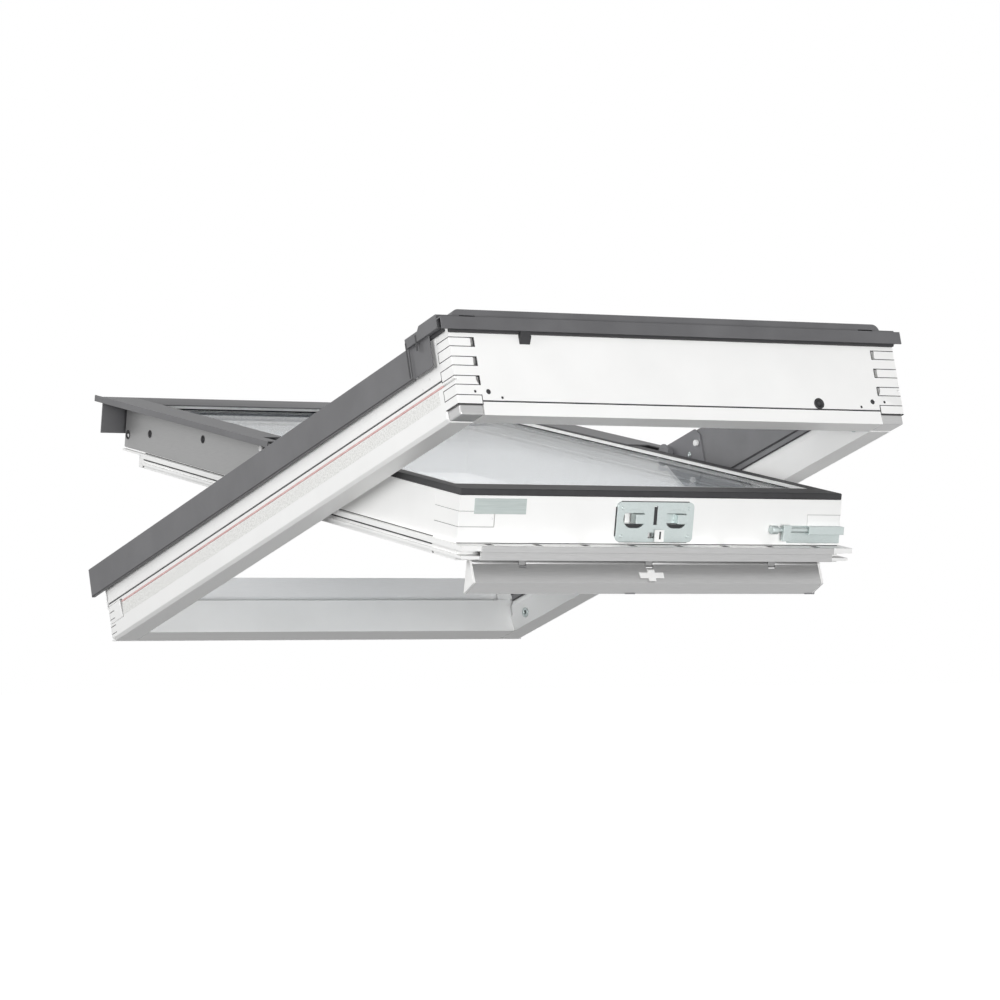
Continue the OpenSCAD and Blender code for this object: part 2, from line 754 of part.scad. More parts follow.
// The hinge plate on a jamb, with the pivot pin
module frame_hinge() {
    x0 = lining_in - hinge_t;
    foot = step_z + hinge_foot;
    top = pivot_z + eye_r;
    along_x(x0, lining_in)
        polygon([[pivot_y - hinge_head, foot], [pivot_y - hinge_head, top - hinge_bevel],
            [pivot_y - hinge_head + hinge_bevel, top], [pivot_y + eye_r, top],
            [pivot_y + hinge_tail, top - 2 * hinge_bevel], [pivot_y + hinge_tail, foot + 2 * hinge_bevel],
            [pivot_y, foot]]);
    pin_x(sash_x + pin_end_clear, x0 + eps, pivot_y, pivot_z, pin_d);
    pin_x(sash_x + hinge_t + 2 * pin_end_clear, x0 + eps, pivot_y, pivot_z, pin_d + 2 * collar_w);
}

module frame_hinge_left() color(dark_grey) roof() left_of() frame_hinge();

module frame_hinge_right() color(dark_grey) roof() frame_hinge();

// The nylon roller on the frame's hinge plate
module frame_roller()
    pin_x(lining_in - hinge_t - roller_l, lining_in - hinge_t, pivot_y - hinge_head + roller_d,
        pivot_z - roller_d, roller_d);

module frame_roller_left() color(white) roof() left_of() frame_roller();

module frame_roller_right() color(white) roof() frame_roller();

// The hinge plate on the sash, with the eye that turns on the pin
module sash_hinge() difference() {
    union() {
        pin_x(sash_x, sash_x + hinge_t, pivot_y, pivot_z, 2 * eye_r);
        along_x(sash_x, sash_x + hinge_t)
            polygon([[pivot_y - pin_d / 2 - eps, pivot_z], [pivot_y + pin_d / 2 + eps, pivot_z],
                [pivot_y + hinge_half, sash_out - hinge_edge], [pivot_y + hinge_half, sash_z + hinge_edge],
                [pivot_y - hinge_half, sash_z + hinge_edge], [pivot_y - hinge_half, sash_out - hinge_edge]]);
    }
    pin_x(sash_x - eps, sash_x + hinge_t + eps, pivot_y, pivot_z, pin_d + 2 * run_clear);
}

module sash_hinge_left() color("#8c8c8e") open_sash() left_of() sash_hinge();

module sash_hinge_right() color("#8c8c8e") open_sash() sash_hinge();

// Sash

// Edge of a sash member below its shadow groove: the two lips, which stand out of the outer face
function lips(lip) = let (low = low_lip_set - lip, z = foot_z + low_lip_z)
    [[-lip, sash_z - shadow_h], [-lip, lip_z], [0, lip_z],
        [0, z + low_lip_t], [low, z + low_lip_t], [low, z], [0, z]];

// Outline of a sash member from its outer face inwards: body, shadow groove, lips and foot,
// and the rebate for the glass
module sash_outline(w, lip)
    polygon(concat([[0, sash_out], [0, sash_z], [shadow_d, sash_z], [shadow_d, sash_z - shadow_h]],
        lip > 0 ? lips(lip) : [[0, sash_z - shadow_h]],
        [[0, foot_z], [w - foot_bevel, foot_z], [w, foot_z + foot_bevel],
            [w, seat_z], [w - rebate_w, seat_z], [w - rebate_w, sash_out]]));

// Fingers of the stiles at a sash corner, from y0 to y1
module sash_fingers(grow, y0, y1)
    for (s = [-1, 1])
        block([s * (sash_x - stile_w / 2) - stile_w / 2 - eps, y0, sash_z + sash_finger - grow],
            [s * (sash_x - stile_w / 2) + stile_w / 2 + eps, y1, sash_z + 2 * sash_finger + grow]);

// Hollow in the top rail behind the lock plate
module lock_pocket() {
    x = claw_pitch / 2 + claw_w / 2 + claw_x + 2 * lock_clear;
    block([-x, sash_top - eps, claw_z - claw_h / 2 - lock_clear],
        [x, sash_top + pocket_d, claw_z + claw_h / 2 + lock_clear]);
    block([-claw_w - claw_x, sash_top - eps, stud_low - lock_clear],
        [claw_w + claw_x, sash_top + pocket_d, claw_z]);
}

module sash_top_rail() {
    rail_in = sash_top + top_rail_w;
    low_x = sash_x + side_lip - low_lip_set;
    slots = floor((2 * pane_x) / air_slot_pitch);
    color(white) open_sash() difference() {
        union() {
            along_x(-sash_x, sash_x) translate([sash_top, 0]) sash_outline(top_rail_w, top_lip);
            block([-sash_x - side_lip, sash_top - top_lip, lip_z],
                [sash_x + side_lip, rail_in, sash_z - shadow_h]);
            block([-low_x, sash_top - top_lip + low_lip_set, foot_z + low_lip_z],
                [low_x, rail_in, foot_z + low_lip_z + low_lip_t]);
        }
        sash_fingers(0, sash_top - eps, rail_in + eps);
        lock_pocket();
        for (i = [0 : slots])
            translate([(i - slots / 2) * air_slot_pitch, sash_top - air_slot_w / 2, 0])
                block([-air_slot_l / 2, -air_slot_w / 2, lip_z - eps],
                    [air_slot_l / 2, air_slot_w / 2, sash_z]);
        for (s = [-1, 1])
            pin_y(s * (sash_x - rail_hole_inset), sash_top - eps, sash_top + rail_hole_depth,
                sash_z + rail_hole_z, pilot_d);
    }
}

module sash_bottom_rail() color(white) open_sash() difference() {
    along_x(-sash_x, sash_x) translate([sash_end, 0]) mirror([1, 0]) sash_outline(bottom_rail_w, 0);
    sash_fingers(0, sash_end - bottom_rail_w - eps, sash_end + eps);
    block([-sash_x - eps, foot_end, foot_z - eps], [sash_x + eps, sash_end + side_lip, sash_z]);
}

// A stile, drawn on the right: only its fingers reach into the rails, its foot stops at the sill,
// and a fin of its lip goes on over the sill
module sash_stile() {
    rail0 = sash_top + top_rail_w + glue_gap;
    rail1 = sash_end - bottom_rail_w - glue_gap;
    difference() {
        along_y(sash_top, sash_end) translate([sash_x, 0]) mirror([1, 0]) sash_outline(stile_w, side_lip);
        for (y = [[sash_top - eps, rail0], [rail1, sash_end + eps]]) {
            block([sash_x - stile_w - eps, y[0], foot_z - eps],
                [sash_x + 2 * side_lip, y[1], sash_z + sash_finger + glue_gap]);
            block([sash_x - stile_w - eps, y[0], sash_z + 2 * sash_finger - glue_gap],
                [sash_x + eps, y[1], sash_out + eps]);
        }
        side_plate_holes(sash_x - plate_hole_depth);
    }
    block([sash_x + glue_gap, rail1 - eps, sash_z - shadow_h - fin_t],
        [sash_x + side_lip, sash_end - fin_end, sash_z - shadow_h]);
}

module sash_stile_left() color(white) open_sash() left_of() sash_stile();

module sash_stile_right() color(white) open_sash() sash_stile();

// Glass

// A flat ring round the glass, w wide, from z0 to z1
module glass_ring(grow, w, z0, z1) difference() {
    block([-pane_x - grow, pane_y0 - grow, z0], [pane_x + grow, pane_y1 + grow, z1]);
    block([-pane_x - grow + w, pane_y0 - grow + w, z0 - eps],
        [pane_x + grow - w, pane_y1 + grow - w, z1 + eps]);
}

module pane(z0) block([-pane_x, pane_y0, z0], [pane_x, pane_y1, z0 + pane_t]);

module glass_seat() color(rubber_black) open_sash()
    glass_ring(0, rebate_w - 2 * glass_clear, seat_z, seat_z + seat_t);

module inner_pane() color("#d4e2e4", 0.5) open_sash() pane(seat_z + seat_t);

module glass_spacer() color(light_grey) open_sash()
    glass_ring(-spacer_inset, spacer_w, seat_z + seat_t + pane_t, sash_out);

// The outer pane, larger than the inner one, lies on the sash
module outer_pane() color("#d4e2e4", 0.5) open_sash()
    block([-sash_x + outer_side, sash_top + outer_top, sash_out],
        [sash_x - outer_side, pane_y1, sash_out + pane_t]);

// The black gasket that frames the outer pane
module outer_gasket() {
    x = sash_x - outer_side;
    color(rubber_black) open_sash() difference() {
        block([-sash_x, sash_top, sash_out], [sash_x, sash_end, gasket_z]);
        block([-x + gasket_lap, sash_top + outer_top + gasket_lap, sash_out - eps],
            [x - gasket_lap, pane_y1 - gasket_lap, gasket_z + eps]);
        block([-x - gasket_clear, sash_top + outer_top - gasket_clear, sash_out - eps],
            [x + gasket_clear, pane_y1 + gasket_clear, sash_out + pane_t]);
    }
}

// Sash covers

// The round hole at the end of a side plate and the two smaller ones along it, cut inwards to x0
module side_plate_holes(x0) {
    x1 = sash_x + plate_t + eps;
    pin_x(x0, x1, sash_end - ring_end, sash_z + ring_z, ring_d);
    pin_x(x0, x1, sash_end - near_hole, sash_z + near_hole_z, plate_hole_d);
    pin_x(x0, x1, sash_end - far_hole, sash_z + far_hole_z, plate_hole_d);
}

module side_plate() difference() {
    block([sash_x, pivot_y + strip_start, sash_z + shadow_h],
        [sash_x + plate_t, sash_end, sash_z + plate_h]);
    side_plate_holes(sash_x - eps);
}

module side_plate_left() color("#979797") open_sash() left_of() side_plate();

module side_plate_right() color("#979797") open_sash() side_plate();

// The strip that laps over a side cover along the lower half of the sash. Its outer edge starts nearer
// to the pivot and goes on past the drip.
module overlap_strip() {
    x1 = sash_x + strip_reach;
    z1 = gasket_z + cover_t;
    along_y(pivot_y + strip_start, drip_y - glue_gap)
        polygon([[sash_x - strip_lap, gasket_z], [sash_x - strip_lap, z1], [x1, z1], [x1, strip_z],
            [x1 - cover_t, strip_z], [x1 - cover_t, gasket_z]]);
    block([x1 - cover_t, pivot_y + strip_nose, strip_z], [x1, drip_y + strip_tail, z1]);
    block([lining_x + cover_t, pivot_y + strip_nose, gasket_z], [x1, pivot_y + strip_start + eps, z1]);
}

module overlap_strip_left() color(dark_grey) open_sash() left_of() overlap_strip();

module overlap_strip_right() color(dark_grey) open_sash() overlap_strip();

// The cover along the lower end of the sash, with its drip outside the sill cover
module end_cover() {
    x = sash_x - strip_lap - glue_gap;
    drip_x = sash_x + strip_reach - cover_t - glue_gap;
    z1 = gasket_z + cover_t;
    color(dark_grey) open_sash() {
        block([-x, sash_end - end_cover_w, gasket_z], [x, drip_y + cover_t, z1]);
        block([-drip_x, drip_y, drip_z], [drip_x, drip_y + cover_t, z1]);
    }
}

// The nylon glide on a side plate
module sash_glide()
    pin_x(sash_x + plate_t, sash_x + plate_t + roller_l, pivot_y + strip_start + glide_y,
        sash_out - roller_d, roller_d);

module sash_glide_left() color(white) open_sash() left_of() sash_glide();

module sash_glide_right() color(white) open_sash() sash_glide();

// Lock

// The lock plate: a window for each claw, the key slot, and a slot for the stud of the pull link
module lock_plate() {
    y0 = sash_top - lock_t - eps;
    half = claw_x + claw_w / 2 + claw_room - window_h / 2;
    color(zinc) open_sash() difference() {
        along_y(sash_top - lock_t, sash_top) lock_outline();
        for (s = [-1, 1]) translate([s * claw_pitch / 2, 0, claw_z]) {
            block([-half, y0, -window_h / 2], [half, sash_top + eps, window_h / 2]);
            for (k = [-1, 1]) pin_y(k * half, y0, sash_top + eps, 0, window_h);
        }
        translate([0, 0, lock_mid + lock_h / 2 - key_slot_drop])
            block([-key_slot_w / 2, y0, -key_slot_l], [key_slot_w / 2, sash_top + eps, 0]);
        block([-claw_x - stud_w / 2 - lock_clear, y0, stud_low - lock_clear],
            [claw_x + stud_w / 2 + lock_clear, sash_top + eps, stud_low + stud_w + lock_clear]);
    }
}

// Outline of the lock plate, with rounded corners
module lock_outline() {
    for (s = [-1, 1], k = [-1, 1])
        translate([s * (lock_w / 2 - lock_r), lock_mid + k * (lock_h / 2 - lock_r)]) circle(lock_r);
    translate([-lock_w / 2, lock_mid - lock_h / 2 + lock_r]) square([lock_w, lock_h - 2 * lock_r]);
    translate([-lock_w / 2 + lock_r, lock_mid - lock_h / 2]) square([lock_w - 2 * lock_r, lock_h]);
}

// The slide behind the lock plate, with the two claws and the stud of the pull link. It moves across.
module lock_slide() {
    y0 = sash_top + lock_clear;
    x = claw_pitch / 2 + claw_w / 2;
    color(zinc) open_sash() translate([claw_x, 0, 0]) {
        block([-x, y0, claw_z - claw_h / 2], [x, y0 + slide_t, claw_z + claw_h / 2]);
        block([-claw_w / 2, y0, stud_low], [claw_w / 2, y0 + slide_t, claw_z]);
        block([-stud_w / 2, sash_top - lock_t - lock_clear, stud_low],
            [stud_w / 2, y0 + slide_t, stud_low + stud_w]);
        for (s = [-1, 1])
            block([s * claw_pitch / 2 - claw_w / 2, sash_top - claw_out, claw_z - claw_h / 2],
                [s * claw_pitch / 2 + claw_w / 2, y0 + slide_t, claw_z + claw_h / 2]);
    }
}

// The white pull link in front of the lock plate
module lock_link() {
    y = sash_top - lock_t - lock_clear;
    z = stud_low + stud_w / 2;
    color(white) open_sash()
        block([claw_x - link_w / 2, y - link_t, z - link_h / 2], [claw_x + link_w / 2, y, z + link_h / 2]);
}

module name_plate() color("#b2bab8") open_sash()
    translate([-sash_x + label_inset, sash_top - label_t, sash_out - label_drop - label_h])
        cube([label_w, label_t, label_h]);

// Barrel bolt

module bolt_housing() {
    y0 = bolt_axis_y - bolt_d / 2 - housing_wall;
    low = bolt_axis_z - bolt_d / 2 - housing_wall;
    top = bolt_axis_z + bolt_d / 2 + housing_wall;
    color(zinc) open_sash() difference() {
        union() {
            block([sash_x - housing_plate, sash_top - housing_wall, sash_z + housing_gap],
                [sash_x, sash_top, top]);
            block([sash_x - housing_l, y0, low], [sash_x, sash_top, top]);
        }
        pin_x(sash_x - housing_plate - eps, sash_x + eps, bolt_axis_y, bolt_axis_z,
            bolt_d + 2 * bolt_clear);
    }
}

// The sliding bolt, with its knob and thumb tab
module barrel_bolt() {
    x0 = sash_x - bolt_l;
    color("#d8d8dc") open_sash() {
        pin_x(x0, sash_x, bolt_axis_y, bolt_axis_z, bolt_d);
        pin_x(x0, x0 + knob_l, bolt_axis_y, bolt_axis_z, knob_d);
        block([x0 + tab_x, bolt_axis_y - bolt_d, bolt_axis_z - tab_down],
            [x0 + tab_x + tab_w, bolt_axis_y - bolt_d / 4, bolt_axis_z + tab_up]);
    }
}

// Air flap

// The bar on the lip's front edge: its upper band stands before the lip, its lower band is set back
module front_bar() {
    y0 = sash_top - top_lip - bar_t;
    y1 = sash_top - side_lip;
    color("#c0c0c0") open_sash() along_x(-bar_l / 2, bar_l / 2)
        polygon([[y0, sash_z - shadow_h], [y0, lip_z - bar_t], [y0 + 2 * bar_t, lip_z - bar_t],
            [y0 + 2 * bar_t, lip_z - bar_h], [y0 + 3 * bar_t, lip_z - bar_h],
            [y0 + 3 * bar_t, lip_z - bar_t], [y1, lip_z - bar_t], [y1, lip_z],
            [y0 + bar_t, lip_z], [y0 + bar_t, sash_z - shadow_h]]);
}

// The brackets under the top rail that carry the flap's rod
module flap_brackets() color(light_grey) open_sash()
    for (i = [-1, 0, 1]) translate([i * bracket_pitch, 0, 0]) difference() {
        union() {
            block([-bracket_w / 2, flap_y - knuckle_r, flap_z], [bracket_w / 2, flap_y + knuckle_r, foot_z]);
            pin_x(-bracket_w / 2, bracket_w / 2, flap_y, flap_z, 2 * knuckle_r);
        }
        pin_x(-bracket_w, bracket_w, flap_y, flap_z, rod_d + 2 * run_clear);
    }

module flap_rod() color(zinc) open_sash()
    pin_x(-flap_l / 2 + 2 * cap_t, flap_l / 2 - 2 * cap_t, flap_y, flap_z, rod_d);

// Outline of the bent flap from its knuckle over its ridge to its lower edge, moved out and t thick
module flap_outline(out, t) translate([-out, 0])
    polygon([flap_bend[0], flap_bend[1], flap_bend[2], flap_bend[2] + [t, 0], flap_bend[1] + [t, 0],
        flap_bend[0] + [t, 0]]);

// The bent flap, with knuckles between the brackets
module air_flap() {
    x = flap_l / 2 - cap_t;
    color("#a8a8aa") open_sash() difference() {
        union() {
            along_x(-x, x) flap_outline(0, flap_t);
            pin_x(-x, x, flap_y, flap_z, 2 * knuckle_r);
        }
        pin_x(-x - eps, x + eps, flap_y, flap_z, rod_d + 2 * run_clear);
        for (i = [-1, 0, 1])
            block([i * bracket_pitch - bracket_w / 2 - bracket_clear, flap_y - 2 * knuckle_r,
                flap_z - knuckle_r - bracket_clear],
                [i * bracket_pitch + bracket_w / 2 + bracket_clear, flap_y + 2 * knuckle_r, foot_z]);
    }
}

// The cap that closes an end of the flap
module flap_cap() {
    along_x(flap_l / 2 - cap_t, flap_l / 2) polygon(concat(flap_bend, [[flap_y + knuckle_r, flap_z]]));
    pin_x(flap_l / 2 - cap_t, flap_l / 2, flap_y, flap_z, 2 * knuckle_r);
}

module flap_cap_left() color(white) open_sash() left_of() flap_cap();

module flap_cap_right() color(white) open_sash() flap_cap();

// The white clip on the flap that the pull link works on
module flap_clip() color(white) open_sash() intersection() {
    along_x(-flap_clip_w / 2, flap_clip_w / 2) flap_outline(flap_clip_t, flap_clip_t);
    translate([0, sash_top - flap_out - flap_clip_t, flap_z - flap_clip_drop]) {
        block([-flap_clip_stem / 2, 0, -flap_clip_h], [flap_clip_stem / 2, flap_back, flap_clip_h]);
        block([-flap_clip_w / 2, 0, -flap_clip_h / 2], [flap_clip_w / 2, flap_back, flap_clip_h / 2]);
    }
}

frame_head();
frame_sill();
frame_jamb_left();
frame_jamb_right();
jamb_seal_left();
jamb_seal_right();
jamb_lining_left();
jamb_lining_right();
side_cover_left();
side_cover_right();
head_corner_left();
head_corner_right();
head_cover();
cover_clip();
sill_cover();
sill_gasket();
keeper();
bolt_bush();
frame_hinge_left();
frame_hinge_right();
frame_roller_left();
frame_roller_right();
sash_top_rail();
sash_bottom_rail();
sash_stile_left();
sash_stile_right();
glass_seat();
inner_pane();
glass_spacer();
outer_pane();
outer_gasket();
side_plate_left();
side_plate_right();
overlap_strip_left();
overlap_strip_right();
end_cover();
sash_hinge_left();
sash_hinge_right();
sash_glide_left();
sash_glide_right();
lock_plate();
name_plate();
bolt_housing();
front_bar();
flap_brackets();
flap_rod();
air_flap();
flap_cap_left();
flap_cap_right();
flap_clip();
lock_slide();
lock_link();
barrel_bolt();
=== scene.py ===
# %% [markdown]
# # A centre-pivot roof window
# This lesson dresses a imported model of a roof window: a white frame that lies in the roof, and a glazed
# sash that turns on two pins half way down its sides. The solids come ready made and stay where they are.
# What is left to do is what a finisher does: round the edges, choose the finishes, fit the small trim that
# no joint depends on, and light the whole for a catalogue picture.

# %% Load the model
import json
import math

import bmesh
import bpy
from mathutils import Matrix, Vector


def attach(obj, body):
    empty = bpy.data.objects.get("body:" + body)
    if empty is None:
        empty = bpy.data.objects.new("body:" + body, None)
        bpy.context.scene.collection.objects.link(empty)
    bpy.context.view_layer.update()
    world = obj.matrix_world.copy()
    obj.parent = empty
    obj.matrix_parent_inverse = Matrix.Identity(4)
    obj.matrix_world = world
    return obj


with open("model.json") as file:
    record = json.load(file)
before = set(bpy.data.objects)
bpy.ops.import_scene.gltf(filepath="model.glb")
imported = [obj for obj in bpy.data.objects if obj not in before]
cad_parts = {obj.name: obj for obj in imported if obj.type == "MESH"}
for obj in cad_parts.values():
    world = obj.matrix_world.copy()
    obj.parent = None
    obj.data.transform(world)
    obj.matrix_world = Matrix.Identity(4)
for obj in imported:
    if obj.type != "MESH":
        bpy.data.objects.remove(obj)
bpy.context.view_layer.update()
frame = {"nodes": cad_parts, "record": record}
nodes = frame["nodes"]
record = frame["record"]

# %% [markdown]
# ## Two tilted sets of axes
# The frame lies at the pitch of the roof, and the open sash lies at a tilt of its own. Measuring along the
# slope is easier than measuring in the room, so each gets its own axes: across, down the slope, and out of
# it. Both tilts can be read from the model's record: the mount gives the roof's, and the pivot's lower limit
# says how far the sash stands open, so no angle has to be typed in twice.

# %% Axes of the roof and of the sash
def slope_axes(normal):
    """Turn from slope axes (across, down, out) to the room's axes, for a slope with this outward normal."""
    out = Vector(normal).normalized()
    across = Vector((1, 0, 0))
    return Matrix((across, out.cross(across), out)).transposed()


def by_name(rows, name):
    """The row of a list in the record that has this name."""
    return next(row for row in rows if row["name"] == name)


roof = slope_axes(by_name(record["mounts"], "roof_opening")["axis"])
shut_turn = math.radians(by_name(record["behaviour"]["joints"], "sash_pivot")["range_deg"][0])
sash = Matrix.Rotation(-shut_turn, 3, "X") @ roof
print("the sash stands open by", round(-math.degrees(shut_turn), 1), "degrees")

# %% Sizes along a slope
def slope_box(node, slope):
    """Lowest and highest corner of a piece, measured along slope axes, in metres."""
    points = [slope.transposed() @ v.co for v in nodes[node].data.vertices]
    return Vector(map(min, zip(*points))), Vector(map(max, zip(*points)))


for node, slope in (("frame_head", roof), ("sash_top_rail", sash)):
    low, high = slope_box(node, slope)
    print(node, "measures", [round(1000 * size) for size in high - low], "mm along its slope")

# %% [markdown]
# ## The camera
# The picture was taken from the head of the window, a little to its left and almost level with it, with a
# long lens that hardly narrows the far end. The lens is given in millimetres on Blender's 36 mm sensor. A
# small shift slides the window in the picture without turning the camera, so upright edges stay upright.

# %% Camera
camera_azimuth = math.radians(-30.6)
camera_elevation = math.radians(-0.8)
camera_distance = 7.19
camera_target = Vector((0.0, 0.0020, 0.0070))
camera_lens = 164.24
camera_shift = (0.0071, 0.0327)
camera_reach = 100

camera = bpy.data.objects.new("camera", bpy.data.cameras.new("camera"))
bpy.context.scene.collection.objects.link(camera)
back = Vector((math.sin(camera_azimuth) * math.cos(camera_elevation),
               -math.cos(camera_azimuth) * math.cos(camera_elevation),
               math.sin(camera_elevation)))
camera.location = camera_target + camera_distance * back
camera.rotation_euler = back.to_track_quat("Z", "Y").to_euler()
camera.data.lens = camera_lens
camera.data.shift_x, camera.data.shift_y = camera_shift
camera.data.clip_end = camera_reach
bpy.context.scene.camera = camera
bpy.context.scene.view_settings.view_transform = "Standard"
print("camera at", [round(c, 2) for c in camera.location])

# %% [markdown]
# ## A white world
# A catalogue picture stands on nothing but white. The white must not come from stronger lamps, or the pale
# frame would burn out. So the world shows plain white only to rays that come from the camera, from a mirror
# or through a pane, and gives the object a softer light. The Light Path node tells the rays apart.

# %% World
def seen_rays(tree):
    """1 for rays from the camera, a reflection or a pane, and 0 for the rays that light the object."""
    path = tree.nodes.new("ShaderNodeLightPath")
    total = path.outputs["Is Camera Ray"]
    for ray in ("Is Glossy Ray", "Is Transmission Ray"):
        add = tree.nodes.new("ShaderNodeMath")
        add.operation = "ADD"
        add.use_clamp = True
        tree.links.new(total, add.inputs[0])
        tree.links.new(path.outputs[ray], add.inputs[1])
        total = add.outputs["Value"]
    return total


ambient_level = 0.3
seen_level = 1.0
world = bpy.data.worlds.new("studio")
world.use_nodes = True
bpy.context.scene.world = world
tree = world.node_tree
strength = tree.nodes.new("ShaderNodeMapRange")
strength.inputs["To Min"].default_value = ambient_level
strength.inputs["To Max"].default_value = seen_level
tree.links.new(seen_rays(tree), strength.inputs["Value"])
tree.nodes["Background"].inputs["Color"].default_value = (1, 1, 1, 1)
tree.links.new(strength.outputs["Result"], tree.nodes["Background"].inputs["Strength"])
print("the world lights at", ambient_level, "and is seen at", seen_level)

# %% [markdown]
# ## The floor
# The floor follows the same idea: a glow makes it white to the rays that see it, and a grey matt surface is
# what the other rays meet. The seen side keeps a share of real matt shading, so that it still takes the
# shadow.

# %% Floor
floor_depth = 0.95
floor_size = 60.0
floor_glow = 0.97
floor_shade = 0.22
floor_bounce = 0.1


def matt_grey(tree, level):
    """A matt grey surface of this level."""
    surface = tree.nodes.new("ShaderNodeBsdfDiffuse")
    surface.inputs["Color"].default_value = (level, level, level, 1)
    return surface.outputs["BSDF"]


bpy.ops.mesh.primitive_plane_add(size=floor_size, location=(0, 0, -floor_depth))
floor = bpy.context.object
floor.name = "floor"
floor_finish = bpy.data.materials.new("floor_white")
floor_finish.use_nodes = True
tree = floor_finish.node_tree
tree.nodes.clear()
glow = tree.nodes.new("ShaderNodeEmission")
glow.inputs["Strength"].default_value = floor_glow
white = tree.nodes.new("ShaderNodeAddShader")
tree.links.new(matt_grey(tree, floor_shade), white.inputs[0])
tree.links.new(glow.outputs["Emission"], white.inputs[1])
choice = tree.nodes.new("ShaderNodeMixShader")
tree.links.new(seen_rays(tree), choice.inputs["Fac"])
tree.links.new(matt_grey(tree, floor_bounce), choice.inputs[1])
tree.links.new(white.outputs["Shader"], choice.inputs[2])
output = tree.nodes.new("ShaderNodeOutputMaterial")
tree.links.new(choice.outputs["Shader"], output.inputs["Surface"])
floor.data.materials.append(floor_finish)
print("floor", floor_depth, "m below the frame's middle")

# %% [markdown]
# ## The lamps
# Four soft boxes light the window. The key stands on the left and lights the side of the jamb. A low front
# lamp lights the head and reaches under the sash to the sill, a weak fill lifts the right, and the rear lamp
# lights the upper faces and the back. All of them are area lamps, because a large lamp gives a soft shadow.

# %% Lamps
lamp_target = Vector((0, 0, 0.05))
lamps = {
    "key": {"place": (-5.2, -0.6, 1.2), "size": 2.6, "power": 132},
    "fill": {"place": (3.6, -3.2, 1.2), "size": 3.0, "power": 12},
    "front": {"place": (-1.4, -5.2, -0.35), "size": 1.8, "power": 226},
    "rear": {"place": (-3.6, 4.4, 2.6), "size": 2.4, "power": 80},
}
for name, lamp in lamps.items():
    data = bpy.data.lights.new(name, "AREA")
    data.size = lamp["size"]
    data.energy = lamp["power"]
    light = bpy.data.objects.new(name, data)
    light.location = lamp["place"]
    light.rotation_euler = (light.location - lamp_target).to_track_quat("Z", "Y").to_euler()
    bpy.context.scene.collection.objects.link(light)
print("lamps", ", ".join(lamps))

# %% [markdown]
# ## Small tools for finishes
# Every finish below is made of the same few steps: a noise that lies in the metal or the plastic, a ramp
# that turns it into colour, and a bump that turns it into relief. Noise in object space needs no unwrapping,
# and it travels with the piece when the sash turns. A stretch along one axis turns spots into drawn streaks.

# %% Noise and colour
def srgb(code):
    """Colour from a web code such as #68686a, as the linear numbers that Blender mixes light with."""
    levels = [int(code[i:i + 2], 16) / 255 for i in (1, 3, 5)]
    return tuple(c / 12.92 if c <= 0.04045 else ((c + 0.055) / 1.055) ** 2.4 for c in levels) + (1.0,)


def noise(tree, scale, detail=3.0, stretch=(1, 1, 1), tilt=0.0):
    """Height of a noise in object space; scale is in spots per metre."""
    place = tree.nodes.new("ShaderNodeTexCoord")
    mapping = tree.nodes.new("ShaderNodeMapping")
    mapping.inputs["Scale"].default_value = stretch
    mapping.inputs["Rotation"].default_value = (tilt, 0, 0)
    spots = tree.nodes.new("ShaderNodeTexNoise")
    spots.inputs["Scale"].default_value = scale
    spots.inputs["Detail"].default_value = detail
    tree.links.new(place.outputs["Object"], mapping.inputs["Vector"])
    tree.links.new(mapping.outputs["Vector"], spots.inputs["Vector"])
    return spots.outputs["Fac"]


def ramp(tree, height, low, high, start=0.3, end=0.7):
    """Colour that runs from low to high as the height goes from start to end."""
    node = tree.nodes.new("ShaderNodeValToRGB")
    for stop, position, colour in zip(node.color_ramp.elements, (start, end), (low, high)):
        stop.position, stop.color = position, colour
    tree.links.new(height, node.inputs["Fac"])
    return node.outputs["Color"]


print("tools for noise and colour ready")

# %% Sheen and relief
def spread(tree, height, low, high):
    """Number that runs from low to high with the height, for roughness."""
    node = tree.nodes.new("ShaderNodeMapRange")
    node.inputs["To Min"].default_value = low
    node.inputs["To Max"].default_value = high
    tree.links.new(height, node.inputs["Value"])
    return node.outputs["Result"]


def relief(tree, shader, height, depth, strength):
    """Bump of the given depth in metres on the shader."""
    node = tree.nodes.new("ShaderNodeBump")
    node.inputs["Distance"].default_value = depth
    node.inputs["Strength"].default_value = strength
    tree.links.new(height, node.inputs["Height"])
    tree.links.new(node.outputs["Normal"], shader.inputs["Normal"])


print("tools for sheen and relief ready")

# %% A finish from these tools
fine_detail = 2.0
finishes = {}


def new_finish(name):
    """A new material with its node tree and its shader."""
    finish = bpy.data.materials.new(name)
    finish.use_nodes = True
    return finish, finish.node_tree, finish.node_tree.nodes["Principled BSDF"]


def tone(tree, shader, height, colours, rough, stops=(0.3, 0.7)):
    """Let one height set the colour, from the first code to the second, and the roughness."""
    dark, light = (srgb(code) for code in colours)
    tree.links.new(ramp(tree, height, dark, light, *stops), shader.inputs["Base Color"])
    tree.links.new(spread(tree, height, *rough), shader.inputs["Roughness"])


def grained(name, colours, rough, cloud, grain, depth, strength, detail=3.0):
    """A moulded or coated finish: a broad cloud in colour and sheen, and a fine grain in the relief."""
    finish, tree, shader = new_finish(name)
    tone(tree, shader, noise(tree, cloud, detail), colours, rough)
    relief(tree, shader, noise(tree, grain, fine_detail), depth, strength)
    return finish


print("one recipe serves every grained finish")

# %% [markdown]
# ## White polyurethane skin
# The frame and sash are timber cores moulded into a white polyurethane skin. It is satin, very slightly warm,
# and has the faint orange peel of a moulded lacquer. A broad, weak mottling keeps large faces from looking
# like paper.

# %% White skin
finishes["coated_timber"] = grained("white_skin", ("#f3f3f2", "#f8f8f7"), rough=(0.34, 0.44), cloud=9.0,
                                    grain=900.0, depth=0.0001, strength=0.25)
print("made", finishes["coated_timber"].name)

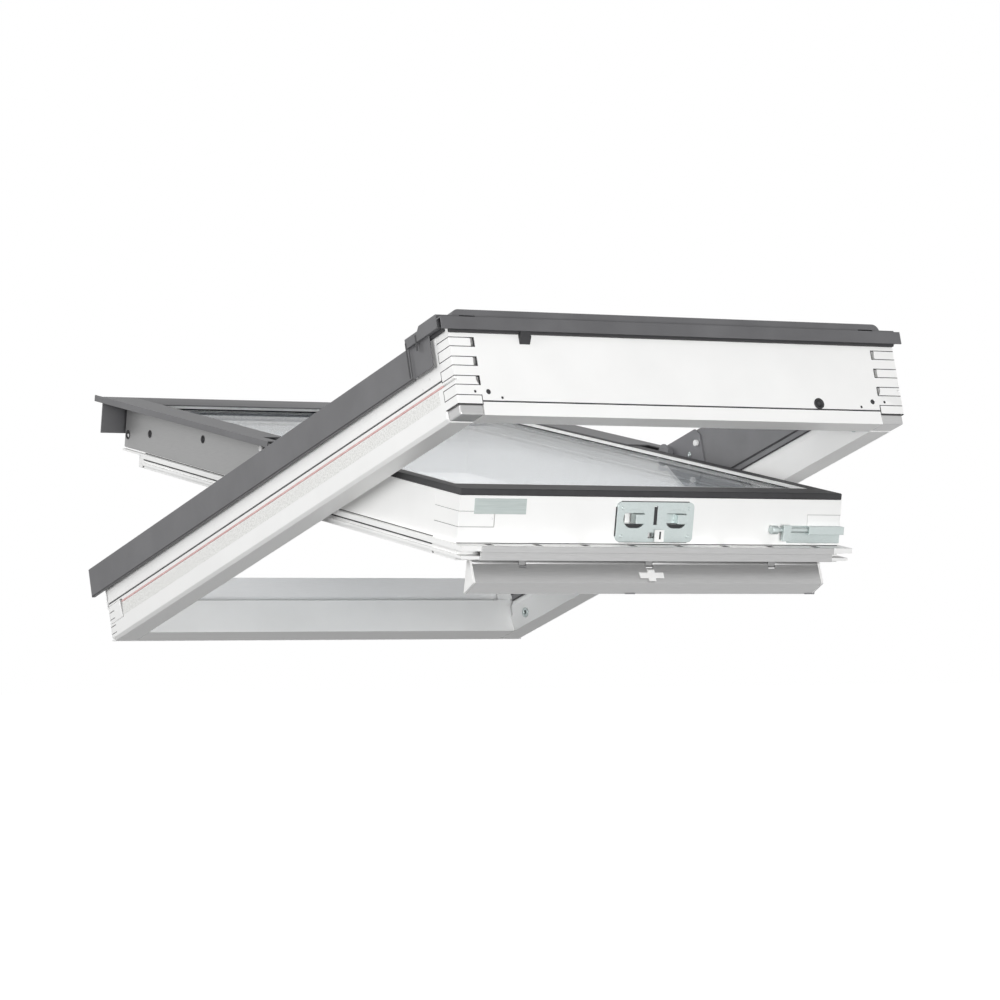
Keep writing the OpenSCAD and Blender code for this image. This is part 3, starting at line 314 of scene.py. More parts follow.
# %% [markdown]
# ## Powder-coated covers
# The weather side wears folded aluminium covers with a mid-grey powder coat. Powder melts into a fine pebble
# texture, so the bump is small and dense, and the sheen is soft. A trace of cloudiness in the grey comes from
# uneven coat. The linings, the hinges, the clip and the spacer's butyl take the same recipe in other greys.

# %% Greys
def powder_coat(name, dark, light):
    return grained(name, (dark, light), rough=(0.46, 0.58), cloud=14.0, grain=1400.0, depth=0.00012, strength=0.35)


finishes["dark_cover"] = powder_coat("grey_cover", "#59595b", "#656567")
finishes["spring_steel"] = powder_coat("dark_clip", "#1e1e20", "#29292b")
finishes["hinge_steel"] = powder_coat("hinge_grey", "#6f6f72", "#7d7d80")
butyl = powder_coat("butyl", "#232325", "#2c2c2e")
lining_grey = powder_coat("lining_grey", "#6e6e70", "#79797b")
print("made five greys from", butyl.name, "to", finishes["hinge_steel"].name)

# %% [markdown]
# ## Mill-finish aluminium
# The sill cover, the side plates, the front bar and the air flap are bare extrusions. Drawing through the die
# leaves hair-fine streaks along the length. The noise is stretched along the piece's own length to make them:
# across the window on some pieces, and down the slope on others. The less metal a shader has, the paler and
# the more even the sheet looks.

# %% Aluminium
roof_tilt = math.atan2(roof[2][1], roof[1][1])
sash_tilt = math.atan2(sash[2][1], sash[1][1])
streaks_across = (0.02, 1, 1)
streaks_down = (1, 0.02, 1)


def drawn_aluminium(name, dark, light, metal, stretch, tilt):
    finish, tree, shader = new_finish(name)
    shader.inputs["Metallic"].default_value = metal
    streak = noise(tree, scale=2200.0, stretch=stretch, tilt=tilt)
    tone(tree, shader, streak, (dark, light), rough=(0.34, 0.5))
    relief(tree, shader, streak, depth=0.00005, strength=0.3)
    return finish


finishes["mill_aluminium"] = drawn_aluminium("aluminium_across", "#adadad", "#b9b9b9", 0.8, streaks_across, sash_tilt)
aluminium_down = drawn_aluminium("aluminium_down", "#909090", "#9a9a9a", 0.6, streaks_down, -sash_tilt)
sill_sheet = drawn_aluminium("sill_sheet", "#ececec", "#f2f2f2", 0.05, streaks_across, roof_tilt)
# a paler copy of the flap's aluminium: a painted highlight for the bead along the flap's bend
flap_highlight = drawn_aluminium("flap_highlight", "#d2d2d2", "#dcdcdc", 0.3, streaks_across, sash_tilt)
print("made aluminium in four tones")

# %% [markdown]
# ## Rubber, seal, nylon and tape
# Black gaskets are matt and slightly dusty, and the pale red seal is duller still. Nylon is a milky white
# plastic. The tape on the jambs is a pale fleece: here the speckle itself is the relief, so that light and
# raised spots fall together.

# %% Rubber, seal and nylon
finishes["black_rubber"] = grained("black_rubber", ("#1f1f21", "#2d2d2f"), rough=(0.55, 0.72), cloud=60.0,
                                   grain=1100.0, depth=0.0001, strength=0.3, detail=4.0)
finishes["red_seal"] = grained("red_seal", ("#d7a9a7", "#e4bfbd"), rough=(0.6, 0.75), cloud=80.0,
                               grain=1500.0, depth=0.0001, strength=0.3)
finishes["white_nylon"] = grained("white_nylon", ("#ededec", "#f6f6f5"), rough=(0.3, 0.42), cloud=50.0,
                                  grain=1300.0, depth=0.00005, strength=0.2)
print("made rubber, seal and nylon")

# %% Tape
def speckled_tape():
    finish, tree, shader = new_finish("pale_tape")
    speckle = noise(tree, scale=420.0, detail=fine_detail)
    tone(tree, shader, speckle, ("#d9d9d6", "#f3f3f1"), rough=(0.6, 0.8), stops=(0.35, 0.6))
    relief(tree, shader, speckle, depth=0.00008, strength=0.3)
    return finish


tape = speckled_tape()
print("made", tape.name)

# %% [markdown]
# ## Zinc and the bare plate
# Bright zinc plate on the lock and the bolt has a cool tint with small crystals, made with cells instead of
# clouds; its sheen follows a broader noise. The bare plate is thin brushed sheet with nothing printed on it.

# %% Zinc and plate
def zinc_plate():
    finish, tree, shader = new_finish("zinc_plate")
    shader.inputs["Metallic"].default_value = 0.8
    place = tree.nodes.new("ShaderNodeTexCoord")
    crystals = tree.nodes.new("ShaderNodeTexVoronoi")
    crystals.inputs["Scale"].default_value = 1500.0
    tree.links.new(place.outputs["Object"], crystals.inputs["Vector"])
    grain = crystals.outputs["Distance"]
    tree.links.new(ramp(tree, grain, srgb("#b3bcbb"), srgb("#c7cfce")), shader.inputs["Base Color"])
    tree.links.new(spread(tree, noise(tree, scale=40.0), low=0.36, high=0.5), shader.inputs["Roughness"])
    relief(tree, shader, grain, depth=0.00002, strength=0.15)
    return finish


def brushed_plate():
    finish, tree, shader = new_finish("bare_plate")
    shader.inputs["Metallic"].default_value = 0.3
    streak = noise(tree, scale=500.0, stretch=(0.05, 1, 1))
    tone(tree, shader, streak, ("#adb6b4", "#bac2c0"), rough=(0.4, 0.55))
    return finish


finishes["zinc_steel"] = zinc_plate()
finishes["bare_plate"] = brushed_plate()
print("made zinc and the bare plate")

# %% [markdown]
# ## Glass
# The panes are float glass with a coat that turns them slightly blue-grey, the same all over, so the colour is
# set on the shader itself. Seen at this low angle they would mirror almost everything; a share of the light
# goes straight through, which keeps the mirror image of the dark lining weak.

# %% Glass
def coated_glass():
    finish, tree, shader = new_finish("clear_glass")
    shader.inputs["Base Color"].default_value = srgb("#bcc7cf")
    shader.inputs["Transmission Weight"].default_value = 1.0
    shader.inputs["IOR"].default_value = 1.52
    shader.inputs["Alpha"].default_value = 0.38
    film = noise(tree, scale=6.0)
    tree.links.new(spread(tree, film, low=0.0, high=0.03), shader.inputs["Roughness"])
    relief(tree, shader, noise(tree, scale=3.0, detail=1.0), depth=0.0002, strength=0.05)
    return finish


finishes["clear_glass"] = coated_glass()
print("made", finishes["clear_glass"].name)

# %% [markdown]
# ## Finishes on the pieces
# The record already says which material slot each piece has, so one table from slot to finish dresses the
# whole model. A few pieces share a slot but not a look, and a second, short table names their own finish.

# %% Dress the pieces
own_finish = {
    "side_plate_left": aluminium_down,
    "side_plate_right": aluminium_down,
    "flap_brackets": aluminium_down,
    "sill_cover": sill_sheet,
    "glass_spacer": butyl,
    "jamb_lining_left": lining_grey,
    "jamb_lining_right": lining_grey,
}


def dress(piece, finish):
    piece.data.materials.clear()
    piece.data.materials.append(finish)


for row in record["subparts"]:
    dress(nodes[row["node"]], own_finish.get(row["node"], finishes[row["material_slot"]]))
print("dressed", len(record["subparts"]), "pieces for", len(finishes), "slots")

# %% [markdown]
# ## Rounded edges
# No edge on a real window is razor sharp, and it is the thin highlight along an edge that tells moulded
# plastic from paper. A bevel does it, after the faces that came in as triangles are joined into flat ones.
# Folded sheet and hardware get a tighter edge than the moulded members.

# %% Round the edges
edge_radius = {"coated_timber": 0.0012, "black_rubber": 0.0016, "dark_cover": 0.0007, "mill_aluminium": 0.0006,
               "clear_glass": 0.0004}
fine_edge = 0.0004
edge_steps = 2
weld_gap = 0.00001
flat_angle = math.radians(0.5)
sharp_angle = math.radians(35)


def round_edges(piece, radius):
    weld = piece.modifiers.new("weld", "WELD")
    weld.merge_threshold = weld_gap
    flat = piece.modifiers.new("flat_faces", "DECIMATE")
    flat.decimate_type = "DISSOLVE"
    flat.angle_limit = flat_angle
    bevel = piece.modifiers.new("rounded_edge", "BEVEL")
    bevel.width = radius
    bevel.segments = edge_steps
    bevel.limit_method = "ANGLE"
    bevel.angle_limit = sharp_angle
    bevel.harden_normals = True


for row in record["subparts"]:
    round_edges(nodes[row["node"]], edge_radius.get(row["material_slot"], fine_edge))
print("edges rounded on", len(record["subparts"]), "pieces")

# %% [markdown]
# ## Two builders for the trim
# What is still missing is small: seals, dark strips that paint the shade in grooves and holes, joints between
# the mouldings, screws and hole rims.
# Nearly all of it is either a bar along the slope or a turned part, so two builders are enough. A bar is
# given by its three ranges in slope axes, and its edges are bevelled. A turned part is a profile of radius
# and height, spun round an axis. Each new piece rides on the body that carries it and names its slot.

# %% Builder for bars
on_frame, on_sash, on_flap, on_lock = (roof, "frame"), (sash, "sash"), (sash, "flap"), (sash, "lock")
round_profile = 0.5


def new_piece(name, mesh, carrier, slot, finish=None):
    """Piece from a mesh in slope axes, turned into the room; its carrier is a slope and a body."""
    slope, body = carrier
    shape = bpy.data.meshes.new(name)
    bmesh.ops.transform(mesh, matrix=slope.to_4x4(), verts=mesh.verts)
    mesh.to_mesh(shape)
    mesh.free()
    piece = bpy.data.objects.new(name, shape)
    bpy.context.scene.collection.objects.link(piece)
    dress(piece, finish or finishes[slot])
    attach(piece, body)


def bars(name, corners, carrier, slot, edge=0.0002, finish=None):
    """One piece made of bevelled bars, each from a low to a high corner in slope axes."""
    mesh = bmesh.new()
    for low, high in corners:
        low, high = Vector(low), Vector(high)
        place = Matrix.Translation((low + high) / 2) @ Matrix.Diagonal((*(high - low), 1))
        bmesh.ops.create_cube(mesh, size=1, matrix=place)
    bmesh.ops.bevel(mesh, geom=mesh.edges[:], offset=edge, segments=edge_steps, profile=round_profile,
                    affect="EDGES")
    new_piece(name, mesh, carrier, slot, finish)


print("bars can ride on", ", ".join(body for _, body in (on_frame, on_sash, on_flap, on_lock)))

# %% Builder for turned parts
turn_steps = 28
centre = 0.0001


def turned(name, profile, places, axis, carrier, slot):
    """One piece made of turned parts: a profile of (radius, height) round an axis, at each place."""
    mesh = bmesh.new()
    turn = Vector(axis).to_track_quat("Z", "Y").to_matrix()
    angles = [math.tau * i / turn_steps for i in range(turn_steps)]
    for place in places:
        rings = []
        for radius, height in profile:
            rim_and_shade_cup = [Vector((radius * math.cos(a), radius * math.sin(a), height)) for a in angles]
            rings.append([mesh.verts.new(Vector(place) + turn @ point) for point in rim_and_shade_cup])
        for inner, outer in zip(rings, rings[1:]):
            for i in range(turn_steps):
                j = (i + 1) % turn_steps
                mesh.faces.new((inner[i], inner[j], outer[j], outer[i]))
        mesh.faces.new(rings[-1])
        mesh.faces.new(reversed(rings[0]))
    for face in mesh.faces:
        face.smooth = len(face.verts) == 4
    new_piece(name, mesh, carrier, slot)


print("turned parts have", turn_steps, "steps")

# %% [markdown]
# ## Where the trim goes
# The solids' own boxes, measured along the slope, give the places: the face of the head, the sides of the
# jambs, the face of the top rail. Only the small offsets of the trim itself are new sizes. Four short helpers
# write a bar's ranges down: a bar from three ranges, a range off a face, a range about a middle line, and a
# range that is mirrored to the left or the right side.

# %% Ranges
sides = (("left", -1), ("right", 1))


def bar(x, y, z):
    """Low and high corner of a bar that fills three ranges."""
    return tuple(zip(x, y, z))


def off(face, low, high):
    """Range that starts and ends at these distances from a face."""
    return face + low, face + high


def about(middle, half):
    """Range that reaches half its width to both sides of a middle line."""
    return middle - half, middle + half


def mirrored(s, near, far):
    """Range across the window on one side, in rising order."""
    return sorted((s * near, s * far))


print("ranges for both sides ready")

# %% Places taken from the solids
head_low, head_high = slope_box("frame_head", roof)
cover_low, cover_high = slope_box("head_cover", roof)
corner_low, corner_high = slope_box("head_corner_right", roof)
lining_low, lining_high = slope_box("jamb_lining_right", roof)
clip_low, clip_high = slope_box("cover_clip", roof)
plate_low, plate_high = slope_box("lock_plate", sash)
side_low, side_high = slope_box("side_plate_right", sash)
rail_top = slope_box("sash_top_rail", sash)[1].z
lip_top = slope_box("front_bar", sash)[1].z
frame_face, frame_end, frame_side = head_low.y, -head_low.y, head_high.x
rail_face, sash_side = plate_high.y, side_low.x
hair = 0.0001
print("the head's face lies at", round(1000 * frame_face, 1), "mm, the top rail's at", round(1000 * rail_face, 1))

# %% [markdown]
# ## Painted shade in the frame's grooves, and seals
# A black strip lies in the saw kerf along the head and another in the groove of each jamb, sunk a little so
# that it paints the groove's shade as a dark line. On the room side, two black beads run along the foot of each
# lining. Round bars would do as well, but bevelled ones fill the square grooves better.

# %% Painted shade in the kerf and the grooves
shade_strip_thick, sunk = 0.003, 0.0008
kerf_z = (0.0201, 0.0223)
groove_z = (0.0611, 0.0633)
groove_stop = 0.002
# black strips sunk in the kerf and in each jamb's groove paint the grooves' shade as a dark line
bars("kerf_painted_shade", [bar((-lining_low.x, lining_low.x), off(frame_face, sunk, sunk + shade_strip_thick), kerf_z)],
     on_frame, "black_rubber")
for side, s in sides:
    groove_x = mirrored(s, frame_side - sunk - shade_strip_thick, frame_side - sunk)
    bars("groove_seal_" + side, [bar(groove_x, (head_high.y, frame_end - groove_stop), groove_z)],
         on_frame, "black_rubber")
print("cords laid in the kerf and both grooves")

# %% Beads of the linings
foot_drop = 0.0019
bead_proud = 0.0012
bead_rise = (0.008, 0.0105)
lining_run = (head_high.y, lining_high.y)
for side, s in sides:
    foot = bar(mirrored(s, lining_low.x - hair, lining_high.x), lining_run, off(lining_low.z, -foot_drop, -hair))
    bead = bar(mirrored(s, lining_low.x - bead_proud, lining_low.x + hair), lining_run,
               off(lining_low.z, *bead_rise))
    bars("lining_beads_" + side, [foot, bead], on_frame, "black_rubber")
print("two beads on each lining")

# %% [markdown]
# ## Painted shadow under the covers
# A wider black strip fills the gap behind the hood's front band, on both sides of the spring clip, and follows
# under the corner pieces; it paints the shadow line under these bands. The two slots in the hood get a dark
# sheet, a painted shade for the unlit space they open into.

# %% Painted shadow under the hood and the corner pieces
corner_shadow_wide, corner_shadow_tall = 0.0055, 0.0045
band_inset, band_drop = 0.0022, 0.0035
for side, s in sides:
    under_x = mirrored(s, frame_side + hair, frame_side + corner_shadow_wide)
    # black strip that paints the shadow under each corner piece
    bars("corner_painted_shadow_" + side,
         [bar(under_x, (corner_low.y, corner_high.y), off(head_high.z, -corner_shadow_tall, -hair))],
         on_frame, "black_rubber", edge=0.0006)
band_y = (cover_low.y + band_inset, frame_face - hair)
band_z = (cover_low.z - band_drop, head_high.z)
beside_clip = ((-frame_side, clip_low.x - hair), (clip_high.x + hair, frame_side))
# black strips that paint the shadow line under the hood's front band
bars("hood_painted_shadow", [bar(x, band_y, band_z) for x in beside_clip], on_frame, "black_rubber", edge=0.0008)
print("hood sealed on both sides of its clip")

# %% Painted shade in the hood's slots
hood_slot_x, hood_slot_half = 0.350, 0.016
slot_shade_y = off(frame_face + 0.0082, 0, 0.0012)
slot_shade_z = off(cover_high.z, -0.0095, -0.0022)
# dark sheets that paint the shade inside the hood's slots
bars("hood_slot_painted_shade", [bar(about(s * hood_slot_x, hood_slot_half), slot_shade_y, slot_shade_z) for _, s in sides],
     on_frame, "black_rubber", edge=0.0003)
print("both slots lined")

# %% [markdown]
# ## Corner joints
# The jambs lock into the head with fingers, and the moulded skin stops at each joint, so a fine dark line
# frames every finger on the front and on the side. The same line shows where stiles and top rail meet, and at
# the lower end of the jambs. The lines are thin strips let into the joint, a tenth of a millimetre proud.

# %% Fingers of the frame
line_wide, line_edge, let_in = 0.0012, 0.00005, 0.002
finger_pitch, finger_tall = 0.029, 0.0135
finger_low = [0.0165 + finger_pitch * i for i in range(4)]
joint_x = lining_low.x - 0.004
front_y = off(frame_face, -hair, let_in)
for side, s in sides:
    side_x = mirrored(s, frame_side - let_in, frame_side + hair)
    strips = []
    for low in finger_low:
        for z in (low, low + finger_tall):
            strips.append(bar(mirrored(s, joint_x, frame_side), front_y, about(z, line_wide / 2)))
            strips.append(bar(side_x, (frame_face, head_high.y), about(z, line_wide / 2)))
        strips.append(bar(mirrored(s, joint_x, joint_x + line_wide), front_y, (low, low + finger_tall)))
    for low in finger_low[:-1]:
        strips.append(bar(side_x, off(head_high.y, -line_wide, 0), off(low, finger_tall, finger_pitch)))
    bars("frame_joint_" + side, strips, on_frame, "black_rubber", edge=line_edge)
print(len(finger_low), "fingers lined at each corner")

# %% Joints of the sash and the sill
fine_line, stile_wide, stile_deep = 0.0005, 0.060, 0.070
sash_joint_z = [rail_top - drop for drop in (0.0463, 0.0233)]
sill_joint_z = (0.010, 0.022, 0.034, 0.046)
sill_joint_y = off(frame_end, -0.018, -0.0005)
for side, s in sides:
    strips = []
    for z in sash_joint_z:
        strips.append(bar(mirrored(s, sash_side - stile_wide, sash_side), off(rail_face, -hair, let_in),
                          about(z, fine_line / 2)))
        strips.append(bar(mirrored(s, sash_side - let_in, sash_side + hair), off(rail_face, 0, stile_deep),
                          about(z, fine_line / 2)))
    bars("sash_joint_" + side, strips, on_sash, "black_rubber", edge=line_edge)
    side_x = mirrored(s, frame_side - let_in, frame_side + hair)
    bars("sill_joint_" + side, [bar(side_x, sill_joint_y, off(z, 0, line_wide)) for z in sill_joint_z],
         on_frame, "black_rubber", edge=line_edge)
print("joint lines on the sash and the sill")

# %% [markdown]
# ## Painted shade on the edges of the covers
# The cut lower edge of each side cover stays in its own shadow, and the corner piece is folded in two steps
# with a gap at each. Thin dark strips along these edges paint that shadow and the shade in the gaps, which the
# sheet's thickness alone is too small to show.

# %% Painted shade on the side covers' edges and the corner pieces' gaps
cut_edge_tall, cut_edge_stop = 0.0022, 0.001
cut_edge_in, cut_edge_out = 0.0003, 0.0002
gap_half = 0.0003
lower_gap_y, lower_gap_z = off(corner_high.y, -0.0035, 0), (corner_low.z + 0.001, corner_high.z - 0.012)
upper_gap_y, upper_gap_z = off(corner_high.y, -0.034, -0.030), off(corner_high.z, -0.034, -0.010)
for side, s in sides:
    low, high = slope_box("side_cover_" + side, roof)
    reach = max(abs(low.x), abs(high.x))
    edge_x = mirrored(s, reach - cut_edge_in, reach + cut_edge_out)
    # black strip that paints the shadow under the cover's cut edge
    bars("cover_edge_shade_" + side,
         [bar(edge_x, (low.y + cut_edge_stop, high.y - cut_edge_stop), off(low.z, 0, cut_edge_tall))],
         on_frame, "black_rubber", edge=0.0001)
    gap_x = mirrored(s, *about(corner_high.x, gap_half))
    # black strips that paint the shade in the corner piece's two fold gaps
    bars("corner_gap_shade_" + side, [bar(gap_x, lower_gap_y, lower_gap_z), bar(gap_x, upper_gap_y, upper_gap_z)],
         on_frame, "black_rubber", edge=0.0001)
print("cut edges and fold gaps drawn on both sides")

# %% [markdown]
# ## Holes
# A hole in a white moulding reads as a dark dot because its depth takes the light. Each fixing hole gets a
# dark plug just below the face, a painted shade for that depth, the cable hole a rubber grommet, and the round
# holes of the side plates a black rim closed by a dark cup that paints the hole's shade. All of them are turned,
# so each is one profile, drawn as pairs of radius and height.

# %% Painted shade plugs in the head
to_front = (0, -1, 0)
hole_x, hole_z = frame_side - 0.0535, 0.0355
pilot_step, pilot_drop = 0.022, 0.0085
fixing_radius, pilot_radius = 0.0039, 0.0021
shade_plug = [(centre, 0.004), (0.9, 0.004), (1.0, 0.0008), (0.9, 0.0006), (centre, 0.0006)]
hole_rows = (("fixing", 0, 0, fixing_radius), ("pilot_inner", -pilot_step, pilot_drop, pilot_radius),
             ("pilot_outer", pilot_step, 0, pilot_radius))
for name, step, drop, radius in hole_rows:
    # dark plugs that paint the shade in each hole's depth
    turned(name + "_plugs", [(radius * share, -deep) for share, deep in shade_plug],
           [(s * (hole_x + step), frame_face, hole_z - drop) for _, s in sides], to_front, on_frame, "black_rubber")
print("fixing and pilot holes plugged")

# %% Grommet, and rims with painted shade
cable_x, cable_z = 0.237, 0.030
grommet = [(0.0068, -0.006), (0.0068, 0.0002), (0.0088, 0.0002), (0.0086, 0.0013), (0.0066, 0.0016),
           (0.0054, 0.0006), (0.0050, -0.003), (centre, -0.003)]
rim_and_shade_cup = [(1.0, -0.004), (1.0, 0.0001), (1.12, 0.0004), (0.9, 0.0008), (0.7, -0.001), (0.66, -0.003)]
shade_cup_floor = -0.003
plate_foot = rail_top - 0.0693
rim_rows = (("end", 0.010, 0.022, 0.0069), ("near", 0.091, 0.033, 0.0059), ("far", 0.282, 0.048, 0.0059))
turned("cable_grommet", grommet, [(cable_x, frame_face, cable_z)], to_front, on_frame, "black_rubber")
for side, s in sides:
    for name, inset, rise, radius in rim_rows:
        # black rim closed by a dark cup that paints the shade inside the hole
        turned(f"plate_{name}_rim_and_shade_{side}", [(radius * share, height) for share, height in rim_and_shade_cup] + [(centre, shade_cup_floor)],
               [(s * side_high.x, side_high.y - inset, plate_foot + rise)], (s, 0, 0), on_sash, "black_rubber")
print("grommet set, and three rims in each side plate")

# %% [markdown]
# ## Screws and rivets
# The hardware is held by low domes with a sunk middle. One profile does for all of them, scaled by the radius
# and the height of the head, and each is set a little into its plate so that no light passes under it.

# %% Screws of the keeper and the lock
def screw_head(radius, height):
    """Profile of a low dome with a sunk middle."""
    return [(radius, -0.0004), (radius, height * 0.4), (radius * 0.8, height), (radius * 0.45, height),
            (radius * 0.4, height * 0.3), (centre, height * 0.3)]


keeper_top = slope_box("keeper", roof)[1].z
keeper_thick, keeper_screw_x, keeper_screw_drop = 0.002, 0.0185, 0.0045
rivet_inset = 0.009
turned("keeper_screws", screw_head(0.0036, 0.0016),
       [(s * keeper_screw_x, head_high.y + keeper_thick, keeper_top - keeper_screw_drop) for _, s in sides],
       (0, 1, 0), on_frame, "zinc_steel")
turned("lock_rivets", screw_head(0.0028, 0.001),
       [(s * (plate_high.x - rivet_inset), plate_low.y, z)
        for _, s in sides for z in (plate_high.z - rivet_inset, plate_low.z + rivet_inset)],
       to_front, on_sash, "zinc_steel")
print("keeper screwed and lock plate riveted")

# %% Screws of the hinges
hinge_screw = screw_head(0.0042, 0.0018)
hinge_plate = 0.003
frame_screw_places = ((0.014, 0.012), (0.060, 0.012), (0.036, 0.052), (0.120, 0.055))
sash_screw_inset = 0.012
for side, s in sides:
    low = slope_box("frame_hinge_" + side, roof)[0]
    turned("frame_hinge_screws_" + side, hinge_screw,
           [(s * (lining_low.x - hinge_plate), low.y + down, low.z + rise) for down, rise in frame_screw_places],
           (-s, 0, 0), on_frame, "zinc_steel")
    low, high = slope_box("sash_hinge_" + side, sash)
    turned("sash_hinge_screws_" + side, hinge_screw,
           [(s * (sash_side + hinge_plate), y, low.z + sash_screw_inset)
            for y in (low.y + sash_screw_inset, high.y - sash_screw_inset)],
           (s, 0, 0), on_sash, "zinc_steel")
print(len(frame_screw_places), "screws in each frame hinge, two in each sash hinge")

# %% [markdown]
# ## Painted shade in the sash's grooves
# The shadow groove over the lip holds a thin black strip, and a second one lies between the two lips of each
# stile; both paint the shade in these gaps. The air slots have black screens just below the lip's upper face.

# %% Painted shade in the sash's grooves
groove_shade_edge = 0.00015
groove_shade_sunk, groove_shade_deep, groove_shade_proud = 0.0004, 0.0025, 0.0018
groove_shade_stop = 0.001
lip_groove_z = off(lip_top, hair, 0.0012 - hair)
lip_gap_z = off(lip_top, -0.0112, -0.0081)
stile_run = (rail_face + 0.0705, side_high.y - 0.0755)
# black strips that paint the shade in the groove over the lip and between each stile's lips
bars("groove_seal_top",
     [bar((-sash_side + groove_shade_stop, sash_side - groove_shade_stop), off(rail_face, groove_shade_sunk, groove_shade_deep), lip_groove_z)],
     on_sash, "black_rubber", edge=groove_shade_edge)
for side, s in sides:
    inner = bar(mirrored(s, sash_side - groove_shade_deep, sash_side - groove_shade_sunk), stile_run, lip_groove_z)
    outer = bar(mirrored(s, sash_side + hair, sash_side + groove_shade_proud), stile_run, lip_gap_z)
    bars("stile_painted_shade_" + side, [inner, outer], on_sash, "black_rubber", edge=groove_shade_edge)
print("sash seals fitted")

# %% Screens in the air slots
slot_count, slot_pitch, slot_half = 8, 0.082, 0.0073
screen_y = off(rail_face, -0.0197, -0.0002)
screen_z = off(lip_top, -0.005, -0.0006)
slot_middles = [(i - (slot_count - 1) / 2) * slot_pitch for i in range(slot_count)]
bars("air_slot_screens", [bar(about(x, slot_half), screen_y, screen_z) for x in slot_middles],
     on_sash, "black_rubber", edge=0.0004)
print(slot_count, "air slots screened")

# %% [markdown]
# ## Painted shadows of the lock
# In the windows and the key slot of the lock plate, black foil paints the shade that hides the white moulding,
# and small shades of zinc sheet close the upper part of each window above its claw. A dark line paints the
# shadow round the plate where it is let into the rail, and the white pull link has a black bar that paints the
# shade of its slot, which slides with it.

# %% Painted-shade foil and zinc shades in the lock plate
window_x, window_half, window_tall = 0.037, 0.0195, 0.0142
window_z = (plate_low.z + plate_high.z) / 2 + 0.005
claw_half = 0.0081
far_bar, far_bar_rise = 0.0028, 0.006
key_half, key_top, key_foot = 0.0024, 0.0075, 0.0343
painted_shade_back, painted_shade_thick = rail_face - hair, 0.0004
far_bar_sunk, shade_sunk, key_sunk = 0.001, 0.0005, 0.0006
painted_shade_bars = []
shades = []
for _, s in sides:
    window = about(s * window_x, window_half)
    far_x = mirrored(s, window_x + window_half - far_bar, window_x + window_half)
    painted_shade_bars.append(bar(window, (rail_face - painted_shade_thick, painted_shade_back), off(window_z, -window_tall, -claw_half)))
    painted_shade_bars.append(bar(far_x, (plate_low.y + far_bar_sunk, painted_shade_back), off(window_z, -claw_half, far_bar_rise)))
    shades.append(bar(window, (plate_low.y + shade_sunk, painted_shade_back), off(window_z, claw_half, window_tall)))
painted_shade_bars.append(bar((-key_half, key_half), (plate_low.y + key_sunk, painted_shade_back), off(plate_high.z, -key_foot, -key_top)))
# black foil that paints the shade in the lock's windows and key slot
bars("window_painted_shade", painted_shade_bars, on_sash, "black_rubber", edge=line_edge)
bars("window_shades", shades, on_sash, "zinc_steel", edge=0.0003)
print(len(painted_shade_bars), "pieces of foil and", len(shades), "shades behind the lock plate")

# %% Painted shadow round the lock plate and in the link's slot
rim_gap, rim_round, rim_sunk = 0.0009, 0.008, 0.002
rim_y = (plate_low.y + rim_sunk, plate_high.y - hair)
rim_x = (-plate_high.x + rim_round, plate_high.x - rim_round)
rim_z = (plate_low.z + rim_round, plate_high.z - rim_round)
# black line that paints the shadow round the lock plate
bars("lock_rim_shadow",
     [bar(rim_x, rim_y, z) for z in (off(plate_low.z, -rim_gap, 0), off(plate_high.z, 0, rim_gap))]
     + [bar(mirrored(s, plate_high.x, plate_high.x + rim_gap), rim_y, rim_z) for _, s in sides],
     on_sash, "black_rubber", edge=0.0001)
link_low, link_high = slope_box("lock_link", sash)
link_slot_x = off((link_low.x + link_high.x) / 2, -0.0008, 0.0022)
link_slot_y = off(link_low.y, -0.00015, 0.001)
link_slot_z = (link_low.z + 0.004, link_high.z - 0.0025)
# black bar that paints the shade in the link's slot
bars("link_slot_shade", [bar(link_slot_x, link_slot_y, link_slot_z)], on_lock, "black_rubber", edge=0.0001)
print("lock plate rimmed")

# %% [markdown]
# ## Bead round the pane
# A white bead runs round the pane inside the gasket and stands on a thin black foot; at this low angle the
# glass mirrors both, and the eye reads a white band with a dark line in it. One function lays four bars along
# the gasket's inner edge, and is used for the bead and for the foot.

# %% Bead round the pane
pane_low, pane_high = slope_box("outer_pane", sash)
gasket_top = slope_box("outer_gasket", sash)[1].z
gasket_lap = 0.011 + hair
bead_wide, bead_sunk = 0.006, 0.0006
foot_wide, foot_tall = 0.0068, 0.001
pane_x = pane_high.x - gasket_lap
pane_near, pane_far = pane_low.y + gasket_lap, pane_high.y - gasket_lap


def pane_frame(width, z):
    """Four bars of this width that lie along the gasket's inner edge."""
    across = (-pane_x + width, pane_x - width)
    return ([bar(mirrored(s, pane_x - width, pane_x), (pane_near, pane_far), z) for _, s in sides]
            + [bar(across, off(pane_near, 0, width), z), bar(across, off(pane_far, -width, 0), z)])


bead_z = (pane_high.z + foot_tall, gasket_top - bead_sunk)
bars("pane_bead", pane_frame(bead_wide, bead_z), on_sash, "white_nylon", edge=0.0004)
bars("pane_bead_foot", pane_frame(foot_wide, off(pane_high.z, hair, foot_tall)), on_sash, "black_rubber")
print("bead", round(1000 * (bead_z[1] - bead_z[0]), 1), "mm high round the pane")
